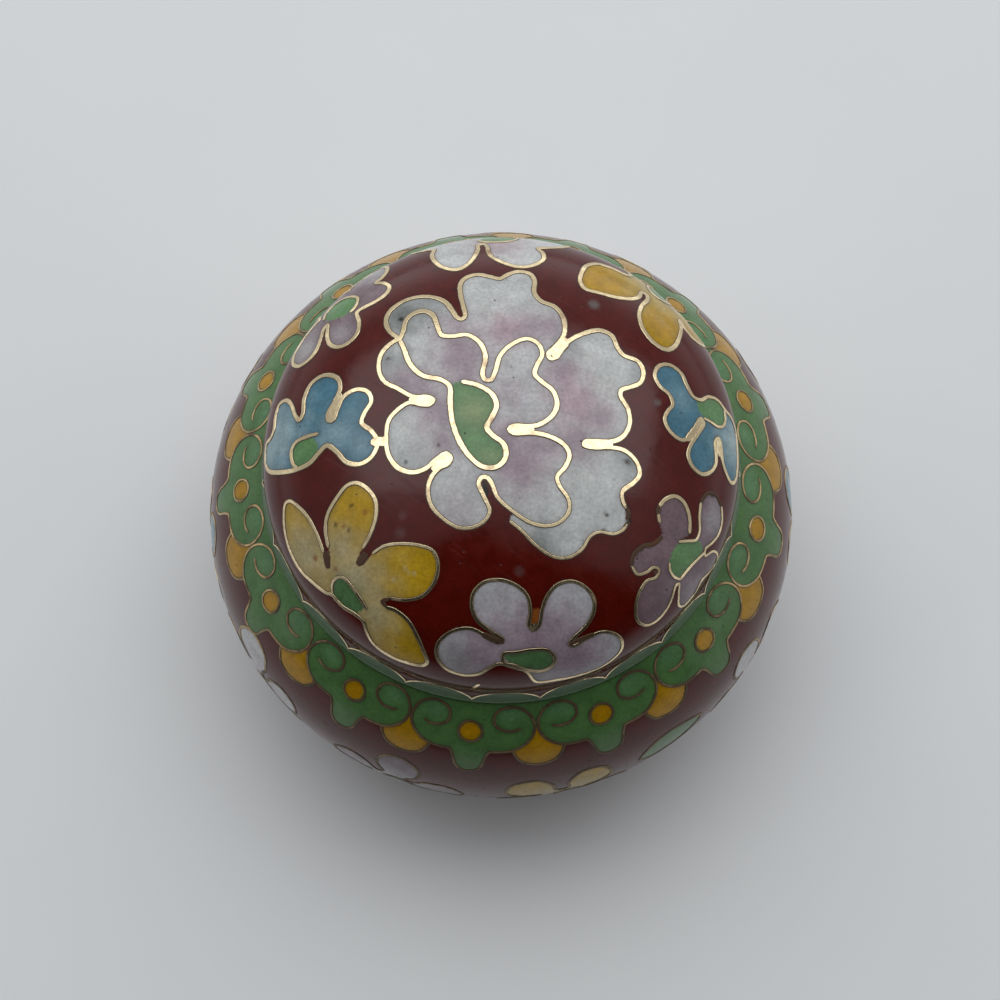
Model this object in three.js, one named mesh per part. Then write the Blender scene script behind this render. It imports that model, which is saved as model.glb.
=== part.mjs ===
// Small squat cloisonné jar with a domed lid, in millimetres, +Z up.
// The origin is on the table, at the middle of the foot ring.
// Both pieces are turned copper shells, enamelled inside and out.

import * as THREE from "three";

// Body sizes
const bodyRadius = 30; // widest line, outside
const waistHeight = 19; // widest line above the table
const bulgeWidth = 18; // how far the curved side reaches in from the widest line
const shoulderRise = 15; // height of the shoulder's full curve above the widest line
const shoulderWidth = 6.95; // shoulder in plan, from the widest line to the lid's edge
const bodyWall = 1.6; // copper with its enamel inside and out
const bellyEnd = THREE.MathUtils.degToRad(78); // where the belly's curve stops at the foot

// Foot ring sizes
const footHeight = 2;
const footFlare = 0.8; // how much wider the ring is at the table than at the belly
const footWidth = 1.6;
const footRoll = 0.3; // small rounded corners of the ring

// Neck sizes, hidden by the lid
const neckWall = 1.2;
const neckRound = 0.3;

// Lid sizes
const lidWall = 1.6;
const lidSide = 3; // straight side below the dome
const lidFlare = 0.65; // how far the lid's edge stands out from its side
const flareHeight = 1.9; // height over which the side flares out
const rimHeight = 0.35; // plain rim at the lid's edge
const domeRise = 9.6; // dome above the side

// Fits
const seatGap = 0.3; // lid's edge above its seat on the shoulder
const neckClearance = 0.4; // neck to the inside of the lid, all round

// Facets
const sides = 64;
const domeSteps = 11;
const shoulderSteps = 6;
const bellySteps = 12;
const insideSteps = 16;
const flareSteps = 4;

// Sizes that follow
const lidRadius = bodyRadius - shoulderWidth;
const domeRadius = lidRadius - lidFlare;
const lidBore = domeRadius - lidWall;
const neckRadius = lidBore - neckClearance;
const mouthRadius = neckRadius - neckWall;
const coreRadius = bodyRadius - bulgeWidth;
const bellyDrop = (waistHeight - footHeight) / Math.sin(bellyEnd);
const shoulderStart = Math.acos((lidRadius - coreRadius) / bulgeWidth);
const seatHeight = waistHeight + shoulderRise * Math.sin(shoulderStart);

function point(radius, height) {
  return new THREE.Vector2(radius, height);
}

// Points at equal steps of angle on an ellipse about (middle, level)
function ellipse(middle, level, wide, high, from, to, steps) {
  const points = [];
  for (let i = 0; i <= steps; i += 1) {
    const angle = from + ((to - from) * i) / steps;
    points.push(point(middle + wide * Math.cos(angle), level + high * Math.sin(angle)));
  }
  return points;
}

// The body's outer curve: below the widest line the angle is negative
function bodyCurve(angle) {
  const high = angle < 0 ? bellyDrop : shoulderRise;
  return {
    radius: coreRadius + bulgeWidth * Math.cos(angle),
    height: waistHeight + high * Math.sin(angle),
    normal: point(high * Math.cos(angle), bulgeWidth * Math.sin(angle)).normalize(),
  };
}

// The body's inner face, one wall inside the outer curve and under the flat seat
function insideOfBody() {
  const ceiling = seatHeight - bodyWall;
  const points = [point(mouthRadius, ceiling)];
  for (let i = 0; i <= insideSteps; i += 1) {
    const angle = shoulderStart - ((bellyEnd + shoulderStart) * i) / insideSteps;
    const outer = bodyCurve(angle);
    const height = outer.height - bodyWall * outer.normal.y;
    points.push(point(outer.radius - bodyWall * outer.normal.x, Math.min(height, ceiling)));
  }
  return points;
}

function footRing() {
  const top = bodyCurve(-bellyEnd).radius;
  const outer = top + footFlare;
  const inner = outer - footWidth;
  return [
    point(0, footHeight),
    point(inner - footFlare / 2, footHeight),
    point(inner, footRoll),
    point(inner + footRoll, 0),
    point(outer - footRoll, 0),
    point(outer, footRoll),
    point(outer - footFlare / 4, footHeight / 2),
  ];
}

function neck() {
  const top = seatHeight + lidSide;
  return [
    point(neckRadius, seatHeight),
    point(neckRadius, top - neckRound),
    point(neckRadius - neckRound, top),
    point(mouthRadius + neckRound, top),
    point(mouthRadius, top - neckRound),
  ];
}

function bodyProfile() {
  const belly = ellipse(coreRadius, waistHeight, bulgeWidth, bellyDrop, -bellyEnd, 0, bellySteps);
  const shoulder = ellipse(
    coreRadius, waistHeight, bulgeWidth, shoulderRise, 0, shoulderStart, shoulderSteps);
  const inside = insideOfBody();
  const floor = inside[inside.length - 1].y;
  return [...footRing(), ...belly, ...shoulder.slice(1), ...neck(), ...inside, point(0, floor)];
}

function lidProfile() {
  const edge = seatHeight + seatGap;
  const domeBase = edge + lidSide;
  const flare = [];
  for (let i = 0; i <= flareSteps; i += 1) {
    const share = i / flareSteps;
    const height = edge + rimHeight + (flareHeight - rimHeight) * share;
    flare.push(point(lidRadius - lidFlare * Math.sin((share * Math.PI) / 2), height));
  }
  const dome = ellipse(0, domeBase, domeRadius, domeRise, 0, Math.PI / 2, domeSteps);
  const inside = ellipse(0, domeBase, lidBore, domeRise - lidWall, Math.PI / 2, 0, domeSteps);
  dome[dome.length - 1].x = 0;
  inside[0].x = 0;
  return [...inside, point(lidBore, edge), point(lidRadius, edge), ...flare, ...dome];
}

// A profile of radius and height, turned about the vertical axis
function turned(profile) {
  const geometry = new THREE.LatheGeometry(profile, sides);
  geometry.rotateX(Math.PI / 2);
  return geometry;
}

const enamel = { color: 0x5a1c1c, roughness: 0.16, metalness: 0 };

const body = new THREE.Mesh(turned(bodyProfile()), new THREE.MeshStandardMaterial(enamel));
body.name = "jar_body";

const lid = new THREE.Mesh(turned(lidProfile()), new THREE.MeshStandardMaterial(enamel));
lid.name = "jar_lid";

const jar = new THREE.Group();
jar.add(body, lid);

export default jar;
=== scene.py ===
import functools
import logging
import math
from collections.abc import Iterator
from dataclasses import dataclass, field
from enum import Enum

import bpy
import numpy as np
from mathutils import Matrix, Vector, kdtree

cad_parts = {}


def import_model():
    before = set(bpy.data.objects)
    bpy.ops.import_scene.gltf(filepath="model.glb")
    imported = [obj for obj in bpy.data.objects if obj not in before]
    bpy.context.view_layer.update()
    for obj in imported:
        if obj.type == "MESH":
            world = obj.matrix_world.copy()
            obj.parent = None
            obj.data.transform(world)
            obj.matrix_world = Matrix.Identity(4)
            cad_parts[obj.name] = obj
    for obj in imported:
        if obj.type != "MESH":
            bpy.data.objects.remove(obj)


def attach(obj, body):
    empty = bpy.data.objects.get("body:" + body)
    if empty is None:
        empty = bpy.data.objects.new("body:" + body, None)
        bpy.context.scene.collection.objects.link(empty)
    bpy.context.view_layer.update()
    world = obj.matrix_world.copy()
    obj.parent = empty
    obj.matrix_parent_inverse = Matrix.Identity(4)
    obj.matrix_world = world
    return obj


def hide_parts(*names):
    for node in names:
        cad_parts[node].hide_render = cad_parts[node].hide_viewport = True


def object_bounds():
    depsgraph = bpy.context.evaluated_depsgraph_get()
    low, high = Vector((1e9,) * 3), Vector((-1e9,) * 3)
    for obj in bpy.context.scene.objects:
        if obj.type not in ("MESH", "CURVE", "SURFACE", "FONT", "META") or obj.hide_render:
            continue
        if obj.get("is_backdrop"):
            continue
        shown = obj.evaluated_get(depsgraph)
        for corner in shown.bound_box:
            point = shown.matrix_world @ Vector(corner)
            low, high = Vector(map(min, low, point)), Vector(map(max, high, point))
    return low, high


log = logging.getLogger("jar")
MM = 0.001
NO_ENAMEL = -1.0  # distance along the outline that marks a vertex behind the enamel
OFF_CHART = 99.0  # where such a vertex is put on a flat chart, past every motif
BACK_ROWS = 14  # rows of points behind the enamel

Knots = list[tuple[float, float]]
Colour = tuple[float, float, float, float]
Pieces = Iterator[tuple[bpy.types.Object, str]]


# Small helpers for curves, areas and colours

def smooth(knots: Knots, closed: bool = False, step: float = 0.22) -> np.ndarray:
    """Draws an even, rounded line through a few knots, as a bent wire runs.

    Args:
        knots: points that the line passes through, in millimetres.
        closed: whether the line returns to its first knot.
        step: distance between two points of the result.

    Returns:
        An array of points; a closed line doesn't repeat its first point.
    """
    p = np.asarray(knots, float)
    if closed:
        p = np.vstack([p[-1], p, p[0], p[1]])
    else:
        p = np.vstack([2 * p[0] - p[1], p, 2 * p[-1] - p[-2]])
    out = []
    for a, b, c, d in zip(p[:-3], p[1:-2], p[2:-1], p[3:]):
        ta, tb, tc = (np.sqrt(np.hypot(*(v - u))) + 1e-6 for u, v in ((a, b), (b, c), (c, d)))
        m1 = (b - a) / ta - (c - a) / (ta + tb) + (c - b) / tb
        m2 = (c - b) / tb - (d - b) / (tb + tc) + (d - c) / tc
        n = max(2, int(np.hypot(*(c - b)) / step + 0.5))
        t = (np.arange(n) / n)[:, None]
        out.append((2 * t**3 - 3 * t**2 + 1) * b + (t**3 - 2 * t**2 + t) * m1 * tb
                   + (3 * t**2 - 2 * t**3) * c + (t**3 - t**2) * m2 * tb)
    if not closed:
        out.append(p[-2:-1])
    return np.vstack(out)


def inside(points: np.ndarray, outline: np.ndarray) -> np.ndarray:
    """Tells which points lie inside a closed outline.

    Args:
        points: an array of places.
        outline: the outline's points in order.

    Returns:
        A mask, one value for each place.
    """
    result = np.zeros(len(points), bool)
    near = np.flatnonzero(np.all((points >= outline.min(0)) & (points <= outline.max(0)), axis=1))
    x, y = points[near].T
    odd = np.zeros(len(near), bool)
    for (x0, y0), (x1, y1) in zip(outline, np.roll(outline, -1, axis=0)):
        if y0 != y1:
            odd ^= ((y0 > y) != (y1 > y)) & (x < (x1 - x0) * (y - y0) / (y1 - y0) + x0)
    result[near] = odd
    return result


def ring(x: float, y: float, radius: float, count: int = 14) -> Knots:
    """Gives knots of a small circle about a place."""
    turns = [math.tau * i / count for i in range(count)]
    return [(x + radius * math.cos(a), y + radius * math.sin(a)) for a in turns]


def srgb(red: int, green: int, blue: int) -> Colour:
    """Turns a colour seen on a screen, 0 to 255, into the linear one that Blender works in, fully opaque."""
    return (*(c / 255 / 12.92 if c < 11 else ((c / 255 + 0.055) / 1.055) ** 2.4 for c in (red, green, blue)), 1.0)


def read(data: bpy.types.bpy_prop_collection, key: str, width: int = 1, kind: type = float) -> np.ndarray:
    """Reads one property of all elements of a mesh, a row of the given width for each."""
    values = np.empty(len(data) * width, kind)
    data.foreach_get(key, values)
    return values.reshape(-1, width) if width > 1 else values


class Enamel(Enum):
    """The enamel colours of the jar."""

    GROUND = srgb(86, 15, 6)
    WHITE = srgb(206, 207, 206)
    PEARL = srgb(190, 190, 194)
    MAUVE = srgb(158, 132, 146)
    ROSE = srgb(176, 132, 148)
    SLATE = srgb(128, 132, 130)
    LEAF = srgb(104, 146, 94)
    PINE = srgb(88, 124, 80)
    MOSS = srgb(68, 104, 58)
    COLLAR = srgb(86, 126, 70)
    MINT = srgb(104, 150, 110)
    YELLOW = srgb(188, 150, 24)
    STRAW = srgb(184, 172, 134)
    AMBER = srgb(188, 139, 5)
    BLUE = srgb(80, 126, 146)
    ICE = srgb(166, 188, 192)
    VIOLET = srgb(127, 105, 112)
    COPPER = srgb(140, 78, 30)
    DARK = srgb(30, 16, 10)


(GROUND, WHITE, PEARL, MAUVE, ROSE, SLATE, LEAF, PINE, MOSS, COLLAR, MINT, YELLOW, STRAW, AMBER, BLUE, ICE, VIOLET,
 COPPER, DARK) = Enamel


# What the jar is drawn with

@dataclass(frozen=True)
class Tint:
    """A soft spot of another colour inside a cell.

    Attributes:
        x, y: middle of the spot, in the cell's own millimetres.
        reach: how far the spot spreads.
        colour: its enamel.
        strength: its share at the middle, 0 to 1.
    """

    x: float
    y: float
    reach: float
    colour: Enamel
    strength: float


@dataclass(frozen=True)
class Cell:
    """An area filled with one enamel, with soft spots in it.

    Attributes:
        colour: its enamel.
        run: number of the motif's wire that its outline follows, or None.
        knots: the rest of its outline.
        tints: the soft spots, each laid over the one before.
    """

    colour: Enamel
    run: int | None = 0
    knots: Knots = field(default_factory=list)
    tints: tuple[Tint, ...] = ()


@dataclass(frozen=True)
class Run:
    """One bent wire. Its width is in millimetres, and a dull one has lost its gilding."""

    knots: Knots
    width: float
    closed: bool = False
    dull: bool = False


@dataclass(frozen=True)
class Motif:
    """A flower or leaf: its wires and its filled cells, in one flat chart."""

    runs: tuple[Run, ...]
    cells: tuple[Cell, ...] = ()


@dataclass(frozen=True)
class Mark:
    """A small stain, scuff or pit on the enamel, as wide as its reach on each side."""

    x: float
    y: float
    reach: float
    colour: Enamel
    strength: float


# The lid's flowers, in millimetres from the middle of the dome

PEONY_TOP: Knots = [
    (-9.4, 8.5), (-10.3, 9.4), (-10.75, 10.6), (-10.4, 11.9), (-9.1, 12.9), (-7.8, 13.2), (-6.4, 13.0), (-5.2, 12.3),
    (-4.5, 11.2), (-4.0, 10.35), (-3.6, 10.15), (-3.3, 10.5), (-3.5, 11.7), (-3.8, 13.2), (-3.8, 14.5), (-3.3, 15.3),
    (-2.2, 15.65), (-1.1, 15.35), (-0.1, 15.05), (0.55, 15.55), (1.6, 16.05), (2.7, 15.8), (3.15, 14.9), (3.1, 13.3),
    (3.7, 12.3), (5.0, 11.65), (5.75, 10.3), (5.8, 8.9), (5.5, 8.05), (4.8, 7.1), (4.25, 6.45), (4.4, 5.95),
    (4.95, 6.1), (5.5, 7.0), (6.0, 7.75), (7.3, 8.7), (9.1, 9.35), (10.2, 8.9), (10.7, 7.6), (11.2, 6.9),
    (12.6, 6.4), (13.05, 5.4), (12.7, 4.2), (11.8, 3.65), (10.85, 3.2), (10.75, 2.6), (11.4, 1.4), (11.5, -0.1),
    (10.8, -1.35), (9.8, -1.85), (8.3, -1.9), (7.4, -2.0), (7.3, -2.35), (8.3, -2.5), (9.6, -2.4), (11.0, -2.6),
    (12.1, -3.6), (12.35, -4.7), (11.8, -5.45), (10.75, -6.35), (10.75, -7.1), (11.05, -7.8)]
PEONY_HEM: Knots = [
    (11.2, -9.2), (10.8, -9.75), (10.0, -10.15), (8.6, -10.05), (7.8, -10.5), (7.1, -11.6), (5.9, -12.35),
    (4.6, -12.3), (3.1, -11.4), (1.7, -10.0), (0.75, -9.25)]
PEONY_HEART: Knots = [
    (-4.6, 3.2), (-4.5, 1.6), (-4.3, -0.2), (-3.6, -2.2), (-2.5, -3.8), (-1.5, -4.5), (-0.3, -4.45), (0.4, -3.6),
    (0.25, -2.45), (-0.8, -1.55), (-1.25, -0.85), (-0.8, 0.1), (-0.4, 1.2), (-0.8, 2.3), (-2.0, 3.15), (-3.5, 3.6)]
PEONY_FOLD: Knots = [(-9.3, 8.3), (-8.9, 7.4), (-8.2, 5.6), (-7.0, 4.35), (-5.4, 3.85)]
PEONY_INNER: Knots = [
    (-9.3, 8.3), (-9.0, 9.3), (-8.85, 10.3), (-8.4, 11.0), (-7.3, 11.4), (-6.35, 10.9), (-5.85, 9.6), (-5.4, 8.5),
    (-4.4, 8.3), (-3.1, 8.4), (-1.9, 7.5), (-1.4, 6.0), (-1.65, 4.3), (-1.4, 3.7), (-0.9, 3.7), (-0.5, 4.6),
    (-0.1, 6.1), (0.8, 7.2), (2.3, 7.95), (3.3, 7.5), (3.7, 6.4), (3.2, 5.2), (3.0, 4.3), (3.7, 3.5), (4.6, 2.7),
    (4.95, 1.4), (4.5, 0.3), (3.3, -0.6), (2.3, -0.75), (1.1, -0.75), (0.7, -1.05), (1.1, -1.4), (2.6, -1.35),
    (4.1, -1.6), (5.5, -2.35), (6.0, -3.3), (5.6, -4.4), (4.9, -5.3), (5.1, -6.1), (5.9, -7.3), (5.9, -8.4),
    (5.1, -9.3), (4.0, -9.65), (2.6, -9.4), (1.0, -8.4)]
PEONY_LEFT: Knots = [
    (-0.3, -7.2), (-0.8, -6.0), (-1.2, -5.45), (-1.65, -5.4), (-1.95, -5.9), (-1.5, -7.1), (-1.0, -8.3),
    (-1.3, -9.1), (-2.3, -9.75), (-3.7, -9.8), (-5.1, -8.95), (-6.1, -7.8), (-6.4, -6.4), (-6.1, -5.3),
    (-5.4, -4.5), (-4.6, -4.1), (-4.4, -3.6), (-4.8, -3.2), (-5.6, -3.65), (-6.6, -4.5), (-7.8, -4.8),
    (-9.1, -4.3), (-10.0, -3.0), (-10.2, -1.4), (-10.0, 0.2), (-9.0, 1.3), (-8.1, 1.75), (-7.1, 1.5),
    (-6.3, 1.45), (-6.0, 1.85), (-6.5, 2.2), (-7.8, 2.3), (-9.4, 3.3), (-10.5, 4.0), (-11.1, 5.2), (-11.0, 6.9),
    (-10.2, 7.95), (-9.4, 8.4)]

PEONY = Motif(
    runs=(
        Run(PEONY_TOP, 0.42), Run(PEONY_HEM, 0.36), Run(PEONY_FOLD + PEONY_HEART, 0.46),
        Run(PEONY_INNER + PEONY_LEFT, 0.43),
        Run([(6.0, 8.1), (5.2, 7.1), (4.5, 6.3)], 1.05), Run([(9.9, -2.15), (8.6, -2.2), (7.4, -2.2)], 0.98),
        Run([(2.9, -1.05), (1.8, -1.08), (0.75, -1.08)], 1.02), Run([(-8.2, 2.0), (-7.2, 1.9), (-6.2, 1.8)], 0.98),
        Run([(-6.0, -4.7), (-5.3, -4.1), (-4.55, -3.45)], 0.92), Run([(-9.7, 8.6), (-9.1, 8.3)], 0.7),
        Run([(-11.6, -1.75), (-10.0, -1.8)], 0.95),
        Run([(11.0, -7.6), (11.3, -8.3), (11.1, -8.8)], 0.4, dull=True),
        Run([(11.35, -9.0), (10.9, -9.6)], 0.3, dull=True)),
    cells=(
        Cell(WHITE, None, PEONY_TOP + PEONY_HEM + PEONY_INNER[-1:] + PEONY_LEFT, (
            Tint(-9.4, 11.2, 2.2, SLATE, 0.95), Tint(-6.6, 12.2, 1.8, SLATE, 0.5),
            Tint(-4.2, 9.6, 1.8, MAUVE, 0.5), Tint(0.4, 8.9, 1.8, ROSE, 0.7),
            Tint(2.4, 9.0, 1.8, MAUVE, 0.7), Tint(4.6, 9.2, 1.6, MAUVE, 0.75),
            Tint(-3.6, 6.4, 2.6, MAUVE, 0.9), Tint(-3.2, 3.8, 1.6, MAUVE, 0.7),
            Tint(-9.0, 3.9, 1.9, MAUVE, 0.8), Tint(-7.2, 3.3, 1.4, MAUVE, 0.6),
            Tint(-10.2, 6.0, 1.5, SLATE, 0.6), Tint(-5.6, 0.8, 2.0, MAUVE, 0.85),
            Tint(-5.0, -2.4, 1.6, MAUVE, 0.7), Tint(0.9, 2.4, 1.8, MAUVE, 0.6),
            Tint(2.6, 1.8, 2.2, PEARL, 0.5), Tint(1.4, -4.4, 2.6, MAUVE, 0.95),
            Tint(0.4, -1.6, 1.8, MAUVE, 0.8), Tint(3.4, -2.6, 1.8, MAUVE, 0.7),
            Tint(5.4, 4.6, 1.9, MAUVE, 0.85), Tint(6.6, 1.6, 2.3, ROSE, 0.7),
            Tint(8.8, 0.2, 1.7, MAUVE, 0.7), Tint(6.4, -1.8, 1.6, MAUVE, 0.8),
            Tint(7.4, -3.0, 1.4, MAUVE, 0.4), Tint(11.4, -3.6, 1.2, SLATE, 0.8),
            Tint(3.4, -11.2, 1.8, SLATE, 0.7), Tint(6.2, 7.4, 1.4, SLATE, 0.45),
            Tint(-2.2, -6.2, 1.8, PEARL, 0.6), Tint(-3.8, -8.6, 2.0, MAUVE, 0.4),
            Tint(12.4, 5.2, 1.0, SLATE, 0.45), Tint(-8.2, -3.6, 1.2, SLATE, 0.4))),
        Cell(LEAF, None, PEONY_HEART, (
            Tint(-2.4, 0.6, 1.4, STRAW, 0.35), Tint(-1.0, -3.6, 0.9, STRAW, 0.25))),
        Cell(DARK, None, [(-1.45, -5.7), (-1.7, -6.4), (-1.35, -7.4), (-1.1, -6.6)])))

BLUE_LEFT = Motif(
    runs=(
        Run([(-23.7, 0.35), (-22.9, 0.65), (-22.45, 1.3), (-22.35, 3.0), (-21.9, 4.0), (-20.9, 4.1), (-20.1, 3.3),
             (-19.5, 2.0), (-19.0, 1.45), (-18.65, 2.0), (-18.6, 3.7), (-17.9, 5.1), (-16.6, 5.65), (-15.2, 5.1),
             (-14.8, 4.0), (-15.3, 2.6), (-15.95, 1.4), (-15.8, 0.8), (-15.35, 0.8), (-15.0, 1.7), (-14.4, 3.0),
             (-13.2, 3.55), (-12.1, 3.2), (-11.7, 2.2), (-12.3, 1.1), (-12.55, 0.2), (-11.6, -0.7), (-11.0, -1.8),
             (-11.5, -3.1), (-12.6, -3.7), (-13.9, -3.4), (-14.9, -2.3), (-15.9, -1.6), (-16.7, -2.2),
             (-17.6, -3.0), (-19.1, -3.4), (-21.4, -3.25), (-23.2, -2.65), (-24.0, -1.4)], 0.4, True),
        Run([(-16.8, -0.3), (-18.0, -0.4), (-19.3, -0.75), (-19.8, -1.6), (-19.6, -2.7), (-19.1, -3.3)], 0.36),
        Run([(-15.7, 0.85), (-15.35, 1.9), (-14.75, 3.4)], 0.85)),
    cells=(
        Cell(BLUE, tints=(
            Tint(-22.3, 0.4, 3.6, ICE, 0.85), Tint(-15.2, -0.6, 1.8, ICE, 0.5),
            Tint(-12.6, -2.0, 1.2, ICE, 0.3))),
        Cell(LEAF, None, [
            (-17.0, -1.0), (-18.0, -0.5), (-19.3, -0.8), (-19.7, -1.6), (-19.5, -2.8), (-18.8, -3.3), (-17.5, -2.8),
            (-16.8, -2.0)])))

BLUE_RIGHT = Motif(
    runs=(
        Run([(18.9, 3.55), (20.0, 4.2), (21.2, 4.2), (22.2, 3.5), (23.3, 3.0), (24.1, 1.8), (24.25, -0.5),
             (24.0, -2.8), (23.4, -3.8), (22.6, -3.95), (21.8, -3.2), (21.3, -2.2), (21.15, -0.6), (20.85, 0.05),
             (20.4, -0.4), (20.45, -1.7), (20.4, -2.6), (19.7, -3.55), (18.6, -3.9), (17.6, -3.3), (17.2, -2.3),
             (17.5, -1.3), (18.4, 0.0), (19.1, 1.2), (18.8, 1.6), (18.1, 0.6), (17.4, -0.6), (16.5, -0.95),
             (15.4, -0.3), (14.9, 0.8), (15.3, 1.75), (15.8, 2.4), (15.5, 3.4), (14.6, 4.1), (14.15, 5.2),
             (14.7, 6.3), (15.9, 6.6), (17.0, 5.9), (17.5, 4.7), (18.1, 3.7)], 0.34, True),
        Run([(22.1, 3.5), (22.1, 2.5), (21.7, 1.6), (20.9, 1.25), (19.9, 1.5), (19.1, 1.7)], 0.28),
        Run([(18.9, 1.5), (18.1, 0.4), (17.1, -0.9)], 0.6), Run([(20.85, 0.0), (20.9, -1.8)], 0.5)),
    cells=(
        Cell(BLUE, tints=(
            Tint(23.0, 0.2, 2.4, ICE, 0.95), Tint(16.8, 3.4, 1.4, ICE, 0.3),)),
        Cell(LEAF, None, [
            (18.6, 3.5), (20.0, 4.1), (21.2, 4.1), (22.0, 3.3), (22.0, 2.3), (21.6, 1.6), (20.9, 1.3), (19.9, 1.5),
            (19.0, 1.9), (18.6, 2.6)])))

VIOLET_TOP = Motif(
    runs=(
        Run([(-13.85, 12.5), (-13.0, 13.0), (-11.9, 13.5), (-10.95, 14.4), (-10.8, 15.2), (-11.5, 16.0),
             (-12.4, 16.4), (-11.8, 17.1), (-11.5, 18.2), (-11.8, 19.4), (-12.8, 20.3), (-14.1, 20.3), (-15.1, 19.3),
             (-15.5, 17.9), (-16.0, 17.0), (-17.0, 17.8), (-18.6, 18.6), (-20.2, 18.3), (-21.0, 17.0), (-20.6, 15.5),
             (-19.4, 14.6), (-18.6, 13.9), (-19.5, 12.9), (-20.6, 11.5), (-21.2, 10.0), (-20.9, 8.5), (-19.8, 7.7),
             (-18.6, 8.0), (-17.85, 9.0), (-17.55, 10.4), (-17.45, 11.6), (-17.1, 12.0), (-16.95, 11.3),
             (-16.8, 10.2), (-16.3, 9.1), (-15.2, 8.55), (-14.1, 9.0), (-13.5, 9.9), (-13.5, 11.2)], 0.4, True),
        Run([(-14.6, 12.7), (-14.1, 13.5), (-14.1, 14.6), (-14.8, 15.2), (-16.0, 15.5), (-17.2, 15.1),
             (-17.9, 14.1), (-17.8, 13.0)], 0.3)),
    cells=(
        Cell(VIOLET, tints=(
            Tint(-19.5, 9.5, 2.0, WHITE, 0.5), Tint(-12.2, 18.6, 2.0, WHITE, 0.6),
            Tint(-15.2, 10.0, 1.6, PEARL, 0.4))),
        Cell(LEAF, None, [
            (-14.7, 12.8), (-14.15, 13.6), (-14.2, 14.6), (-14.9, 15.1), (-16.0, 15.4), (-17.2, 15.0),
            (-17.9, 14.0), (-17.7, 12.9), (-16.3, 12.4)])))

WHITE_TOP = Motif(
    runs=(
        Run([(-1.8, 20.95), (-1.4, 20.3), (-1.25, 19.2), (-0.9, 18.3), (0.1, 17.4), (1.6, 16.75), (3.0, 17.0),
             (4.1, 18.1), (4.15, 19.2), (3.7, 20.2), (4.6, 20.5), (6.3, 21.3), (7.2, 22.7), (7.0, 24.2), (5.7, 25.0),
             (4.0, 24.6), (2.4, 23.7), (1.6, 24.6), (0.3, 25.5), (-1.4, 25.6), (-2.8, 24.8), (-3.5, 23.7),
             (-5.2, 24.4), (-7.2, 24.6), (-9.2, 23.7), (-9.75, 22.4), (-9.0, 21.4), (-7.5, 21.1), (-6.85, 20.8),
             (-6.9, 19.6), (-6.6, 18.4), (-5.7, 17.1), (-4.3, 16.5), (-3.3, 17.1), (-2.6, 18.4), (-2.3, 19.8),
             (-2.3, 20.7)], 0.42, True),
        Run([(-2.4, 22.0), (-1.6, 21.5), (-0.2, 21.4), (1.2, 21.9), (1.7, 22.9), (0.9, 23.7), (-0.6, 23.9)], 0.3)),
    cells=(
        Cell(WHITE, tints=(
            Tint(-0.6, 21.4, 2.8, ROSE, 0.6), Tint(-4.6, 20.6, 2.0, PEARL, 0.4))),
        Cell(LEAF, None, [
            (-2.2, 22.1), (-1.6, 21.6), (-0.2, 21.5), (1.1, 22.0), (1.6, 22.9), (0.8, 23.6), (-0.6, 23.8),
            (-1.9, 23.2)])))

YELLOW_TOP = Motif(
    runs=(
        Run([(13.95, 15.5), (13.5, 14.6), (12.6, 13.95), (11.1, 13.75), (9.3, 14.0), (8.0, 14.3), (7.55, 15.2),
             (7.8, 16.6), (8.4, 17.9), (9.6, 18.75), (11.2, 18.7), (12.9, 18.2), (13.5, 18.9), (13.0, 20.4),
             (13.2, 21.9), (14.3, 22.6), (15.7, 21.9), (16.4, 20.4), (17.0, 19.6), (18.2, 20.2), (19.7, 20.0),
             (20.6, 18.7), (20.3, 17.2), (19.3, 16.3), (19.9, 15.2), (21.3, 14.1), (21.8, 12.6), (21.0, 11.2),
             (19.5, 11.0), (18.4, 12.2), (18.0, 13.2), (17.9, 12.0), (17.4, 10.5), (16.6, 9.0), (15.6, 8.3),
             (14.4, 8.8), (13.4, 10.2), (13.15, 11.8), (13.6, 13.3), (14.4, 14.5), (14.5, 15.3)], 0.42, True),
        Run(ring(16.6, 17.0, 1.5), 0.3, True)),
    cells=(
        Cell(YELLOW, tints=(
            Tint(9.5, 16.0, 3.0, AMBER, 0.7), Tint(15.3, 11.4, 2.6, AMBER, 0.7),
            Tint(16.6, 17.0, 3.6, STRAW, 0.8))),
        Cell(LEAF, None, ring(16.6, 17.0, 1.45))))

VIOLET_EDGE: Knots = [
    (17.45, -9.6), (17.45, -8.7), (17.2, -7.6), (16.6, -6.7), (15.8, -6.35), (14.8, -6.75), (14.2, -7.7),
    (14.3, -8.9), (14.6, -10.1), (13.9, -10.75), (12.7, -11.15), (11.85, -12.0), (11.7, -12.9),
    (12.3, -13.6), (13.2, -13.4), (13.9, -12.9), (14.45, -13.1), (14.2, -13.8), (13.3, -14.15),
    (12.6, -15.3), (12.45, -16.7), (12.8, -17.9), (13.8, -18.4), (14.9, -18.1), (15.8, -17.1),
    (16.25, -15.9), (16.5, -14.5), (16.85, -14.3), (17.0, -15.2), (17.5, -16.5), (18.5, -16.7),
    (19.6, -15.7), (20.2, -14.0), (21.4, -13.2), (22.4, -12.4), (22.1, -11.4), (20.9, -11.0),
    (19.7, -11.5), (19.6, -10.9), (20.6, -10.1), (21.4, -9.2), (21.6, -8.0), (21.3, -6.6), (20.5, -5.7),
    (19.4, -5.65), (18.6, -6.6), (18.5, -8.0), (18.6, -9.4), (18.3, -10.1), (17.3, -10.3),
    (16.3, -10.45)]

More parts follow.
